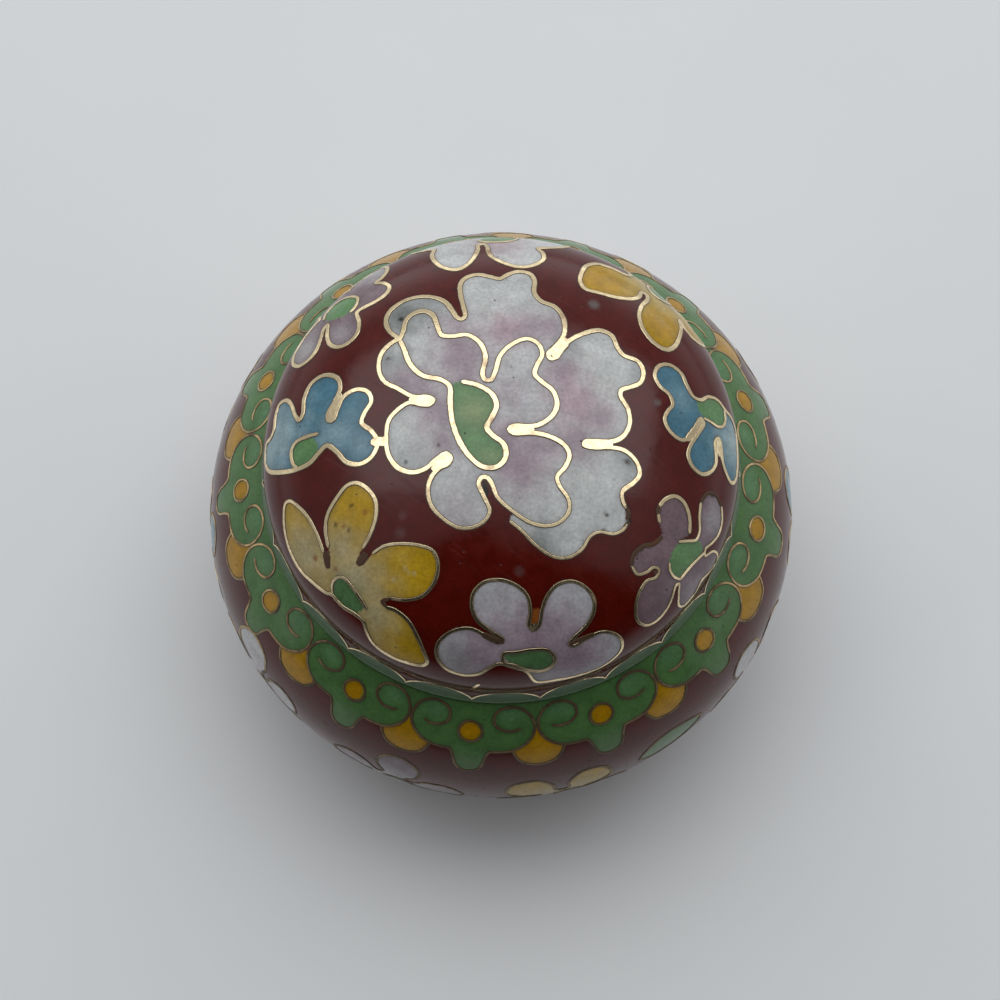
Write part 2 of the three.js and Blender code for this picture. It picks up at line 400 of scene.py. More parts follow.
VIOLET_LOW = Motif(
    runs=(
        Run(VIOLET_EDGE[:6] + [(14.25, -7.4)], 0.34), Run([(14.15, -8.1), (14.3, -8.9)], 0.3),
        Run(VIOLET_EDGE[8:13], 0.3, dull=True), Run(VIOLET_EDGE[12:43], 0.24), Run(VIOLET_EDGE[42:46], 0.26, dull=True),
        Run(VIOLET_EDGE[45:], 0.24), Run([(14.4, -13.3), (13.9, -13.45)], 0.5, dull=True),
        Run([(14.2, -7.3), (14.1, -8.2)], 0.3, dull=True),
        Run([(16.9, -13.9), (16.2, -13.7), (15.6, -13.1), (15.5, -12.4)], 0.24),
        Run([(16.9, -13.9), (18.0, -12.6), (19.0, -11.7), (19.6, -11.2)], 0.24)),
    cells=(
        Cell(VIOLET, None, VIOLET_EDGE, (
            Tint(20.6, -8.0, 1.6, PEARL, 0.5), Tint(18.6, -14.8, 1.6, PEARL, 0.3))),
        Cell(LEAF, None, [
            (15.5, -12.2), (16.4, -10.6), (17.6, -10.3), (18.7, -10.2), (19.3, -11.0), (18.6, -12.1), (17.4, -13.1),
            (16.6, -13.7), (15.8, -13.3)])))

WHITE_LOW = Motif(
    runs=(
        Run([(3.5, -24.35), (5.5, -24.3), (7.5, -24.05), (9.4, -23.5), (10.9, -22.4), (11.7, -21.0), (11.5, -19.9),
             (10.6, -19.15), (9.2, -18.95), (7.8, -19.6), (6.7, -20.25), (6.25, -20.1), (6.8, -19.3), (7.7, -18.4),
             (8.35, -17.1), (8.3, -15.9), (7.5, -14.9), (6.3, -14.4), (5.0, -14.7), (4.1, -15.7), (3.65, -16.9),
             (3.4, -18.3), (2.9, -18.75), (2.5, -18.3), (2.6, -17.1), (2.3, -15.7), (1.3, -14.8), (0.0, -14.35),
             (-1.4, -14.5), (-2.4, -15.4), (-2.6, -16.6), (-2.1, -17.9), (-1.0, -18.8), (0.2, -19.7), (-0.3, -19.9),
             (-1.4, -19.25), (-2.8, -18.6), (-4.4, -18.85), (-5.7, -19.9), (-6.0, -21.2), (-5.3, -22.6),
             (-3.7, -23.35), (-2.2, -23.2), (-1.0, -22.4), (-0.2, -22.0), (1.2, -22.4), (2.4, -22.9)], 0.26, True),
        Run([(0.2, -21.0), (1.4, -20.85), (2.8, -20.6), (4.2, -20.65), (5.0, -21.4), (4.8, -22.3), (3.9, -22.85),
             (2.4, -22.7), (1.2, -22.15), (0.3, -21.9)], 0.28, True),
        Run([(0.3, -19.85), (-0.7, -19.6), (-1.7, -19.1)], 0.7, dull=True),
        Run([(6.2, -20.15), (7.4, -19.6), (8.6, -19.15)], 0.6, dull=True),
        Run([(2.75, -18.1), (2.95, -18.7), (3.15, -18.1)], 0.22)),
    cells=(
        Cell(PEARL, tints=(
            Tint(3.0, -19.6, 3.4, MAUVE, 0.9), Tint(-1.6, -21.0, 3.0, MAUVE, 0.8),
            Tint(7.2, -21.6, 3.0, MAUVE, 0.9), Tint(-4.0, -21.6, 1.8, SLATE, 0.4),
            Tint(5.8, -18.6, 1.6, MAUVE, 0.4), Tint(2.0, -23.8, 2.0, SLATE, 0.5))),
        Cell(PINE, None, [
            (0.2, -21.1), (1.4, -20.9), (2.8, -20.7), (4.2, -20.7), (4.9, -21.4), (4.7, -22.3), (3.9, -22.8),
            (2.4, -22.6), (1.2, -22.1)]),
        Cell(COPPER, None, [(2.45, -16.9), (3.5, -16.9), (3.4, -17.9), (3.0, -18.6), (2.6, -17.9)])))

YELLOW_EDGE: Knots = [
    (-16.0, -15.4), (-16.8, -15.15), (-18.3, -14.1), (-19.7, -12.9), (-20.6, -11.3), (-21.0, -9.5),
    (-20.95, -7.7), (-20.6, -6.45), (-20.1, -6.25), (-18.9, -7.0), (-17.8, -8.2), (-16.95, -9.8),
    (-16.4, -11.4), (-16.1, -12.3), (-15.75, -12.2), (-15.85, -11.0), (-16.05, -9.4), (-15.8, -8.1),
    (-14.9, -6.7), (-13.8, -5.55), (-12.9, -5.4), (-11.9, -6.0), (-11.15, -7.1), (-11.1, -8.5),
    (-11.6, -10.0), (-12.4, -11.3), (-13.0, -12.2), (-12.8, -12.75), (-12.2, -12.65), (-11.5, -11.8),
    (-10.4, -11.2), (-9.0, -11.05), (-7.2, -11.25), (-6.0, -11.75), (-5.55, -12.8), (-5.8, -14.3),
    (-6.9, -15.6), (-8.5, -16.0), (-10.1, -15.8), (-10.75, -16.0), (-10.5, -16.6), (-9.6, -16.9),
    (-8.5, -17.8), (-7.8, -19.1), (-7.2, -20.9), (-7.0, -22.0), (-7.6, -22.45), (-9.3, -22.25),
    (-11.0, -21.6), (-12.4, -20.3), (-12.85, -18.8), (-12.95, -18.0), (-13.7, -17.3), (-14.9, -16.6),
    (-15.6, -15.9)]

YELLOW_LOW = Motif(
    runs=(
        Run(YELLOW_EDGE[40:] + YELLOW_EDGE[:13], 0.3), Run(YELLOW_EDGE[15:26], 0.32), Run(YELLOW_EDGE[29:39], 0.26),
        Run([(-15.9, -15.3), (-15.8, -14.4), (-15.3, -13.85), (-14.6, -13.8), (-13.9, -14.4), (-13.2, -15.4),
             (-12.4, -16.8)], 0.28),
        Run([(-16.15, -11.3), (-16.1, -12.2), (-16.05, -12.9)], 0.85, dull=True),
        Run([(-12.1, -11.7), (-12.5, -12.3), (-13.0, -12.7)], 0.95, dull=True),
        Run([(-10.1, -15.9), (-10.8, -16.1), (-10.4, -16.6)], 0.4, dull=True)),
    cells=(
        Cell(YELLOW, None, YELLOW_EDGE, (
            Tint(-18.6, -11.4, 3.2, STRAW, 0.85), Tint(-13.4, -14.0, 2.9, STRAW, 1.0),
            Tint(-11.6, -17.4, 2.4, STRAW, 0.85), Tint(-14.6, -10.8, 1.6, STRAW, 0.7),
            Tint(-13.2, -7.6, 1.6, AMBER, 0.2))),
        Cell(PINE, None, [
            (-15.9, -15.2), (-15.7, -14.3), (-15.2, -13.85), (-14.5, -13.85), (-13.8, -14.5), (-13.1, -15.6),
            (-12.7, -16.6), (-13.6, -17.2), (-14.9, -16.5)])))

STRAY = Motif((Run([(-2.1, -24.6), (-2.55, -25.1), (-2.85, -25.8)], 0.3),))

LID_MOTIFS = (PEONY, BLUE_LEFT, BLUE_RIGHT, VIOLET_TOP, WHITE_TOP, YELLOW_TOP, VIOLET_LOW, WHITE_LOW,
              YELLOW_LOW, STRAY)

# Marks of each colour: place, reach and strength
LID_MARKS = tuple(Mark(x, y, reach, colour, strength) for colour, marks in (
    (DARK, (
        (-9.3, 10.7, 0.3, 0.9), (-10.3, 6.4, 0.22, 0.7), (9.3, -8.5, 0.2, 0.9), (-5.5, -2.4, 0.2, 0.8),
        (-8.4, -3.8, 0.2, 0.8), (11.2, -3.6, 0.25, 0.9), (-4.4, 13.8, 0.2, 0.9), (-6.4, 16.8, 0.22, 0.9),
        (11.2, -7.7, 0.24, 0.9), (11.3, -8.3, 0.32, 0.9), (11.35, -8.9, 0.32, 0.9), (9.0, -9.9, 0.22, 0.8),
        (14.15, -7.8, 0.3, 0.9), (13.3, -10.95, 0.3, 0.9), (12.5, -11.3, 0.3, 0.9), (12.0, -11.8, 0.25, 0.9),
        (20.0, -5.65, 0.35, 0.9), (19.1, -5.9, 0.25, 0.9), (18.4, -7.6, 0.2, 0.9), (12.1, -5.6, 0.2, 0.7),
        (7.3, -11.1, 0.18, 0.7), (-13.4, -7.4, 0.2, 0.8), (-15.0, -9.0, 0.2, 0.8), (-13.7, -9.6, 0.17, 0.8))),
    (SLATE, (
        (8.7, 12.4, 0.55, 0.5), (14.3, 2.4, 0.35, 0.4), (-8.7, -8.6, 0.4, 0.12), (-8.9, -10.1, 0.5, 0.14),
        (1.6, -13.6, 0.45, 0.16))),
    (COPPER, (
        (-12.1, -8.1, 0.28, 0.7), (-14.2, -9.2, 0.2, 0.7), (-17.4, -11.9, 0.28, 0.9), (-15.2, -13.0, 0.25, 0.7))),
    (STRAW, ((-8.5, -13.2, 0.22, 0.5), (-8.2, -13.6, 0.2, 0.5), (-7.7, -13.7, 0.22, 0.5), (-9.6, -14.2, 0.24, 0.5)))
) for x, y, reach, strength in marks)


def belly_flower(petal: Enamel, heart: Enamel, turn: float, size: float, seed: int) -> Motif:
    """Draws a five-petalled flower for the belly, each petal a little different.

    Args:
        petal: enamel of the petals.
        heart: enamel towards the middle of the petals.
        turn: how far the flower is turned, in degrees.
        size: reach of its petals.
        seed: fixed start for the small differences.

    Returns:
        The flower about its own middle.
    """
    rng = np.random.default_rng(seed)
    outline: Knots = []
    for i in range(5):
        middle = math.radians(turn + 72 * i + rng.uniform(-5, 5))
        reach = size * rng.uniform(0.9, 1.08)
        for share, side in ((0.34, -0.40), (0.62, -0.46), (0.88, -0.32), (1.0, 0.0), (0.9, 0.30), (0.64, 0.46),
                            (0.36, 0.42)):
            wide = middle + side * (1.25 - 0.25 * share)
            outline.append((reach * share * math.cos(wide), reach * share * math.sin(wide)))
    centre = ring(0.1 * size, -0.05 * size, 0.24 * size, 9)
    return Motif((Run(outline, 0.26, True), Run(centre, 0.3, True)),
                 (Cell(petal, tints=(Tint(0, 0, size * 0.55, heart, 0.75),)), Cell(LEAF, 1)))


def leaf(turn: float, length: float) -> Motif:
    """Draws a small pointed leaf with a blunt end, turned by some degrees about its own middle."""
    flat: Knots = [(-0.5, 0.0), (-0.36, 0.2), (-0.05, 0.3), (0.28, 0.2), (0.5, 0.0), (0.25, -0.16), (-0.1, -0.2),
                   (-0.38, -0.14)]
    c, s = math.cos(math.radians(turn)), math.sin(math.radians(turn))
    outline = [(length * (x * c - y * s), length * (x * s + y * c)) for x, y in flat]
    return Motif((Run(outline, 0.38, True),), (Cell(COLLAR),))


# Node trees and the maths in them

class Value:
    """What a node gives, such as a number. Sums and products of numbers become Math nodes."""

    def __init__(self, nodes: "Nodes", socket: bpy.types.NodeSocket):
        """Keeps the tree and the socket."""
        self.nodes, self.socket = nodes, socket

    def math(self, operation: str, other: "Value | float" = 0.0) -> "Value":
        """Adds a Math node on this number and another."""
        return self.nodes.out("ShaderNodeMath", {0: self, 1: other}, operation=operation)

    def __add__(self, other: "Value | float") -> "Value":
        """Adds a number."""
        return self.math("ADD", other)

    def __mul__(self, other: "Value | float") -> "Value":
        """Multiplies by a number."""
        return self.math("MULTIPLY", other)

    def __sub__(self, other: "Value | float") -> "Value":
        """Takes away a number."""
        return self.math("SUBTRACT", other)

    def __rsub__(self, other: float) -> "Value":
        """Takes this number from another."""
        return self * -1.0 + other

    __radd__ = __add__
    __rmul__ = __mul__

    def ramp(self, low: float, high: float, first: float, last: float, way: str = "LINEAR") -> "Value":
        """Turns the range low..high of this number into first..last, held at both ends."""
        return self.nodes.out("ShaderNodeMapRange", {
            "Value": self, "From Min": low, "From Max": high, "To Min": first, "To Max": last},
            clamp=True, interpolation_type=way)


class Nodes:
    """Fills a node tree."""

    def __init__(self, tree: bpy.types.NodeTree):
        """Empties the tree and keeps it."""
        self.tree = tree
        self.tree.nodes.clear()

    def node(self, kind: str, values: dict | None = None, **settings: object) -> bpy.types.Node:
        """Adds a node.

        Args:
            kind: Blender's name for the node's type.
            values: what its sockets get, by name or place: a number, colour, socket or Value.
            settings: the node's own settings, set first.

        Returns:
            The new node.
        """
        made = self.tree.nodes.new(kind)
        for key, setting in settings.items():
            setattr(made, key, setting)
        for key, value in (values or {}).items():
            if isinstance(value, Value):
                self.tree.links.new(value.socket, made.inputs[key])
            else:
                made.inputs[key].default_value = value
        return made

    def out(self, kind: str, values: dict | None = None, output: int | str = 0, **settings: object) -> Value:
        """Adds a node and gives one of its outputs."""
        return Value(self, self.node(kind, values, **settings).outputs[output])

    def split(self, vector: Value) -> list[Value]:
        """Gives a vector's X, Y and Z."""
        return [Value(self, socket) for socket in self.node("ShaderNodeSeparateXYZ", {0: vector}).outputs]

    def mix(self, share: Value | float, first: Value | Colour, second: Value | Colour, way: str = "MIX") -> Value:
        """Mixes two colours, with the given share of the second one."""
        return self.out("ShaderNodeMix", {0: share, 6: first, 7: second}, 2, data_type="RGBA", blend_type=way)


class Paint(Nodes):
    """Builds one material."""

    def __init__(self, name: str):
        """Starts an empty material of the given name."""
        self.material = bpy.data.materials.new(name)
        self.material.use_nodes = True
        super().__init__(self.material.node_tree)

    def place(self) -> Value:
        """Gives the piece's own coordinates, in metres."""
        return self.out("ShaderNodeTexCoord", {}, "Object")

    def noise(self, size: float, detail: float = 2.0) -> Value:
        """Gives soft noise whose lumps are about so many millimetres wide."""
        return self.out("ShaderNodeTexNoise", {
            "Vector": self.place(), "Scale": 1000.0 / size, "Detail": detail, "Roughness": 0.55})

    def pits(self, spacing: float, reach: float, soft: float, chance: tuple[float, float],
             depth: float = 1.0) -> Value:
        """Scatters small round pits.

        Args:
            spacing: average distance between the places where a pit may be, in millimetres.
            reach: the pits' radius, in spacings.
            soft: width of their soft edge, in spacings.
            chance: share of the places with no pit, and share past which a pit has its full depth.
            depth: the full depth.

        Returns:
            The depth, 0 between the pits.
        """
        dots = self.node("ShaderNodeTexVoronoi", {"Vector": self.place(), "Scale": 1000.0 / spacing})
        luck = self.out("ShaderNodeSeparateColor", {0: Value(self, dots.outputs["Color"])})
        near = Value(self, dots.outputs["Distance"]).ramp(reach - soft, reach + soft, 1.0, 0.0)
        return near * luck.ramp(*chance, 0.0, depth)

    def surface(self, values: dict, bump: Value | None = None, height: float = 0.0) -> bpy.types.Material:
        """Finishes the material with its shader.

        Args:
            values: what the shader's sockets get.
            bump: relief of the surface.
            height: depth of the relief, in metres.

        Returns:
            The material.
        """
        if bump is not None:
            normal = self.out("ShaderNodeBump", {"Height": bump, "Distance": height, "Strength": 1.0})
            values = {**values, "Normal": normal}
        self.node("ShaderNodeOutputMaterial", {"Surface": self.out("ShaderNodeBsdfPrincipled", values)})
        return self.material


# Finishes

@dataclass(frozen=True)
class InlaidEnamel:
    """Polished enamel in the colours laid on the mesh, clouded, with small pits and fine polishing lines.

    Attributes:
        name: the material's name.
        gloss: roughness of the polished surface.
        pit: colour at the bottom of a pit.
        streak_turn: direction of the polishing lines.
        streak_scale: how dense the lines are across and along.
    """

    name: str = "cloisonne_enamel"
    gloss: float = 0.15
    pit: Colour = srgb(38, 24, 22)
    streak_turn: float = -0.9
    streak_scale: tuple[float, float, float] = (3200.0, 200.0, 400.0)

    def material(self) -> bpy.types.Material:
        """Builds the material."""
        paint = Paint(self.name)
        laid = paint.out("ShaderNodeAttribute", {}, "Color", attribute_name="enamel")
        level = (paint.noise(1.5, 4.0).ramp(0.32, 0.68, 0.82, 1.08)
                 * paint.noise(0.3, 1.0).ramp(0.3, 0.7, 0.86, 1.08))
        grey = paint.out("ShaderNodeCombineColor", {0: level, 1: level, 2: level})
        pits = paint.pits(1.5, 0.055, 0.02, (0.5, 0.52))
        specks = paint.pits(0.55, 0.09, 0.03, (0.72, 0.74), 0.55)
        colour = paint.mix(pits + specks, paint.mix(1.0, laid, grey, "MULTIPLY"), self.pit)
        rough = paint.noise(3.0, 3.0).ramp(0.35, 0.7, self.gloss - 0.04, self.gloss + 0.08) + pits * 0.4
        turned_place = paint.out("ShaderNodeMapping", {
            "Vector": paint.place(), "Rotation": (0.0, 0.0, self.streak_turn)})
        long_place = paint.out("ShaderNodeMapping", {"Vector": turned_place, "Scale": self.streak_scale})
        streaks = paint.out("ShaderNodeTexNoise", {"Vector": long_place, "Scale": 1.0, "Detail": 2.0})
        return paint.surface({
            "Base Color": colour, "Roughness": rough + streaks.ramp(0.58, 0.78, 0.0, 0.16), "IOR": 1.43},
            paint.noise(1.6, 2.0) * 0.5 - pits, 0.00002)


@dataclass(frozen=True)
class Gilding:
    """Worn gilding on copper, brown where it has gone dull, and browned towards the jar's front as painted shade.

    Attributes:
        name: the material's name.
        bright: colour of the gilding.
        worn: share of the surface that is dull, 0 to 1.
        roughness: roughness of the bright metal.
        front: painted shade on the jar's front, 0 to 1, laid on the wires there as extra dull colour.
        tarnish: colour of the dull metal, which is also the colour of the painted shade on the front.
    """

    name: str = "gilt_wire"
    bright: Colour = srgb(252, 231, 188)
    worn: float = 0.1
    roughness: float = 0.14
    front: float = 0.0
    tarnish: Colour = srgb(142, 106, 82)

    def material(self) -> bpy.types.Material:
        """Builds the material."""
        paint = Paint(self.name)
        edge = 0.66 - 0.3 * self.worn
        depth = paint.split(paint.place())[1]
        # The dull share is real wear from the noise plus painted shade from the ramp towards the jar's front.
        dull = (paint.noise(2.4, 4.0).ramp(edge - 0.04, edge + 0.14, 0.0, 0.8)
                + depth.ramp(-0.022, -0.008, self.front, 0.0)).math("MINIMUM", 0.9)
        rub = paint.noise(0.5, 2.0).ramp(0.3, 0.7, 0.0, 0.3)
        colour = paint.mix(dull + rub * (1 - dull), self.bright, self.tarnish)
        rough = dull * 0.25 + rub * 0.4 + self.roughness
        return paint.surface({"Base Color": colour, "Roughness": rough, "Metallic": 1 - dull * 0.7},
                             paint.noise(0.35, 2.0), 0.00001)


@dataclass(frozen=True)
class Tarnish:
    """The dark line where enamel meets a wire."""

    name: str = "wire_edge"
    dark: Colour = srgb(64, 50, 36)
    light: Colour = srgb(96, 84, 58)

    def material(self) -> bpy.types.Material:
        """Builds the material."""
        paint = Paint(self.name)
        return paint.surface({"Base Color": paint.mix(paint.noise(1.2), self.dark, self.light), "Roughness": 0.45})


@dataclass(frozen=True)
class PlainEnamel:
    """Turquoise enamel inside the jar and under it, slightly clouded and pitted."""

    name: str = "counter_enamel"
    colour: Colour = srgb(64, 150, 158)
    cloud: Colour = srgb(44, 118, 132)
    pit: Colour = srgb(40, 40, 36)

    def material(self) -> bpy.types.Material:
        """Builds the material."""
        paint = Paint(self.name)
        clouded = paint.mix(paint.noise(3.0, 4.0).ramp(0.3, 0.7, 0.0, 1.0), self.colour, self.cloud)
        pits = paint.pits(1.1, 0.08, 0.03, (0.45, 0.5))
        return paint.surface({
            "Base Color": paint.mix(pits, clouded, self.pit), "Roughness": pits * 0.4 + 0.24, "IOR": 1.5},
            paint.noise(2.0, 3.0) - pits, 0.00005)


@dataclass(frozen=True)
class Tabletop:
    """A pale matt table with painted shade: darker towards the viewer and past what the picture shows."""

    name: str = "tabletop"
    colour: Colour = srgb(248, 249, 250)
    cloud: Colour = srgb(228, 230, 236)
    # Painted shade: the colour the table turns to towards the viewer.
    near: Colour = srgb(176, 176, 178)

    def material(self) -> bpy.types.Material:
        """Builds the material."""
        paint = Paint(self.name)
        pale = paint.mix(paint.noise(30.0, 2.0) * 0.25, self.colour, self.cloud)
        # Painted shade: the table turns to the near colour from 0.1 m to 0.3 m in front of the jar, and stays that
        # colour beyond.
        near = paint.split(paint.place())[1].ramp(-0.3, -0.1, 1.0, 0.0)
        return paint.surface({"Base Color": paint.mix(near, pale, self.near), "Roughness": 0.75})


# Geometry Nodes

class Maker(Nodes):
    """Builds one Geometry Nodes tree with named inputs and applies it to meshes."""

    def __init__(self, name: str):
        """Starts an empty tree that takes and gives geometry."""
        super().__init__(bpy.data.node_groups.new(name, "GeometryNodeTree"))
        for way in ("INPUT", "OUTPUT"):
            self.tree.interface.new_socket("Geometry", in_out=way, socket_type="NodeSocketGeometry")
        self.inputs = self.node("NodeGroupInput")

    def size(self, name: str, kind: str = "Float") -> Value:
        """Adds a named input of some kind and gives it inside the tree."""
        self.tree.interface.new_socket(name, in_out="INPUT", socket_type="NodeSocket" + kind)
        return Value(self, self.inputs.outputs[name])

    def start(self) -> Value:
        """Gives the geometry that comes in."""
        return Value(self, self.inputs.outputs[0])

    def geo(self, kind: str, values: dict | None = None, output: int | str = 0, **settings: object) -> Value:
        """Adds a geometry node, named without its usual first words, and gives one of its outputs."""
        return self.out("GeometryNode" + kind, values, output, **settings)

    def end(self, geometry: Value) -> None:
        """Closes the tree: instances are made real and the result goes out."""
        self.node("NodeGroupOutput", {0: self.geo("RealizeInstances", {0: geometry})})

    def make(self, name: str, mesh: bpy.types.Mesh, sizes: dict) -> bpy.types.Object:
        """Runs the tree on a mesh and keeps the result as a plain mesh.

        Args:
            name: name of the new piece.
            mesh: what the tree starts from.
            sizes: values of the named inputs.

        Returns:
            The piece's object, at the origin.
        """
        start = bpy.data.objects.new(name + "_start", mesh)
        bpy.context.collection.objects.link(start)
        modifier = start.modifiers.new("make", "NODES")
        modifier.node_group = self.tree
        for item in self.tree.interface.items_tree:
            if item.item_type == "SOCKET" and item.in_out == "INPUT" and item.name in sizes:
                modifier[item.identifier] = sizes[item.name]
        start.update_tag()
        graph = bpy.context.evaluated_depsgraph_get()
        made = bpy.data.meshes.new_from_object(start.evaluated_get(graph), depsgraph=graph)
        start.modifiers.clear()
        bpy.data.objects.remove(start)
        made.name = name
        piece = bpy.data.objects.new(name, made)
        bpy.context.collection.objects.link(piece)
        return piece


@functools.cache
def turning() -> Maker:
    """Builds the tree that turns a profile about the vertical axis.

    Returns:
        A maker whose start mesh is the profile, one vertex after another, with the radius as x and the height as z.
    """
    maker = Maker("Turned piece")
    sides, weld, finish = maker.size("Sides", "Int"), maker.size("Weld distance"), maker.size("Finish", "Material")
    size = maker.geo("AttributeDomainSize", {0: maker.start()}, "Point Count", component="MESH")
    last = size - 1.0
    grid = maker.geo("MeshGrid", {"Size X": last, "Size Y": math.tau, "Vertices X": size, "Vertices Y": sides + 1.0})
    along, turn, _ = maker.split(maker.geo("InputPosition"))
    row = (along + last * 0.5).math("ROUND")

    def sampled(value: Value, kind: str) -> Value:
        """Reads what the profile has at a grid vertex's row."""
        return maker.geo("SampleIndex", {"Geometry": maker.start(), "Value": value, "Index": row},
                         data_type=kind, domain="POINT")

    radius, _, height = maker.split(sampled(maker.geo("InputPosition"), "FLOAT_VECTOR"))
    arc = sampled(maker.geo("InputNamedAttribute", {"Name": "arc"}, data_type="FLOAT"), "FLOAT")
    place = maker.out("ShaderNodeCombineXYZ", {
        "X": radius * turn.math("COSINE"), "Y": radius * turn.math("SINE"), "Z": height})
    made = maker.geo("StoreNamedAttribute", {"Geometry": grid, "Name": "arc", "Value": arc},
                     data_type="FLOAT", domain="POINT")
    made = maker.geo("SetPosition", {"Geometry": made, "Position": place})
    made = maker.geo("MergeByDistance", {"Geometry": made, "Distance": weld})
    made = maker.geo("SetShadeSmooth", {"Geometry": made, "Shade Smooth": True})
    maker.end(maker.geo("SetMaterial", {"Geometry": made, "Material": finish}))
    return maker


@functools.cache
def wiring() -> Maker:
    """Builds the tree that sweeps flat-topped wires, each with a dark seam, along lines that lie on the enamel.

    Returns:
        A maker whose start mesh holds the lines, with "rise" as the surface's normal and "wide" as the wire's width.
    """
    maker = Maker("Laid wires")
    height, corner, seam, crest, low_crest = (maker.size(name) for name in (
        "Height share", "Corner share", "Seam width", "Crest", "Seam crest"))
    finish, shade = (maker.size(name, "Material") for name in ("Finish", "Seam finish"))
    rise = maker.geo("InputNamedAttribute", {"Name": "rise"}, data_type="FLOAT_VECTOR")
    wide = maker.geo("InputNamedAttribute", {"Name": "wide"}, data_type="FLOAT")
    lines = maker.geo("MeshToCurve", {0: maker.start()})
    stood = maker.geo("SetCurveNormal", {"Curve": lines, "Normal": rise}, mode="FREE")
    sized = maker.geo("SetCurveRadius", {"Curve": stood, "Radius": wide})
    box, low = (maker.geo("CurvePrimitiveQuadrilateral", {"Width": height * tall, "Height": 1.0}, mode="RECTANGLE")
                for tall in (2.0, 0.5))
    rounded = maker.geo("FilletCurve", {"Curve": box, "Count": 3, "Radius": corner, "Limit Radius": True}, mode="POLY")
    broad = wide + (wide * 0.7).math("MINIMUM", seam)
    lift = low_crest - crest + height * (wide - broad * 0.25)
    raised = maker.out("ShaderNodeVectorMath", {"Vector": rise, "Scale": lift}, operation="SCALE")
    moved = maker.geo("SetPosition", {"Geometry": sized, "Offset": raised})
    both = maker.node("GeometryNodeJoinGeometry")
    for curve, section, scale, material in ((sized, rounded, wide, finish), (moved, low, broad, shade)):
        swept = maker.geo("CurveToMesh", {
            "Curve": curve, "Profile Curve": section, "Scale": scale, "Fill Caps": True})
        swept = maker.geo("SetMaterial", {"Geometry": swept, "Material": material})
        maker.tree.links.new(swept.socket, both.inputs[0])
    even = maker.geo("SetShadeSmooth", {"Geometry": Value(maker, both.outputs[0]), "Shade Smooth": False})
    maker.end(even)
    return maker


# Turned outlines and laying on them

class Outline:
    """A turned surface's outline, read by the distance along it, in millimetres."""

    def __init__(self, points: np.ndarray, inset: float):
        """Measures the outline.

        Args:
            points: radius and height, in fine steps, in the order that the distance grows.
            inset: how far the enamel lies inside the solid's surface.
        """
        self.points = points
        self.arc = np.concatenate([[0.0], np.cumsum(np.hypot(*np.diff(points, axis=0).T))])
        slope = np.gradient(points, self.arc, axis=0)
        slope /= np.hypot(*slope.T)[:, None]
        self.normal = np.stack([-slope[:, 1], slope[:, 0]], -1)
        self.normal[0] = self.normal[1] if points[0, 0] > 0 else (0.0, 1.0)
        self.inset = inset

    def radius(self, arc: float) -> float:
        """Gives the solid's radius at a distance."""
        return float(np.interp(arc, self.arc, self.points[:, 0]))

    def at(self, arc: np.ndarray, lift: float = 0.0) -> tuple[np.ndarray, np.ndarray]:
        """Gives places on the enamel.

        Args:
            arc: distances along the outline.
            lift: height above the enamel.

        Returns:
            Radius and height of each place, and the surface's direction there.
        """
        line, normal = (np.stack([np.interp(arc, self.arc, part) for part in rows.T], -1)
                        for rows in (self.points, self.normal))
        normal /= np.hypot(*normal.T)[:, None]
        return line + (lift - self.inset) * normal, normal

    def lay(self, turn: np.ndarray, arc: np.ndarray) -> tuple[np.ndarray, np.ndarray]:
        """Lays points round the jar.

        Args:
            turn: azimuths, in radians.
            arc: distances along the outline.

        Returns:
            Places on the enamel and surface directions in space.
        """
        c, s = np.cos(turn), np.sin(turn)
        return tuple(np.stack([flat[:, 0] * c, flat[:, 0] * s, flat[:, 1]], -1) for flat in self.at(arc))


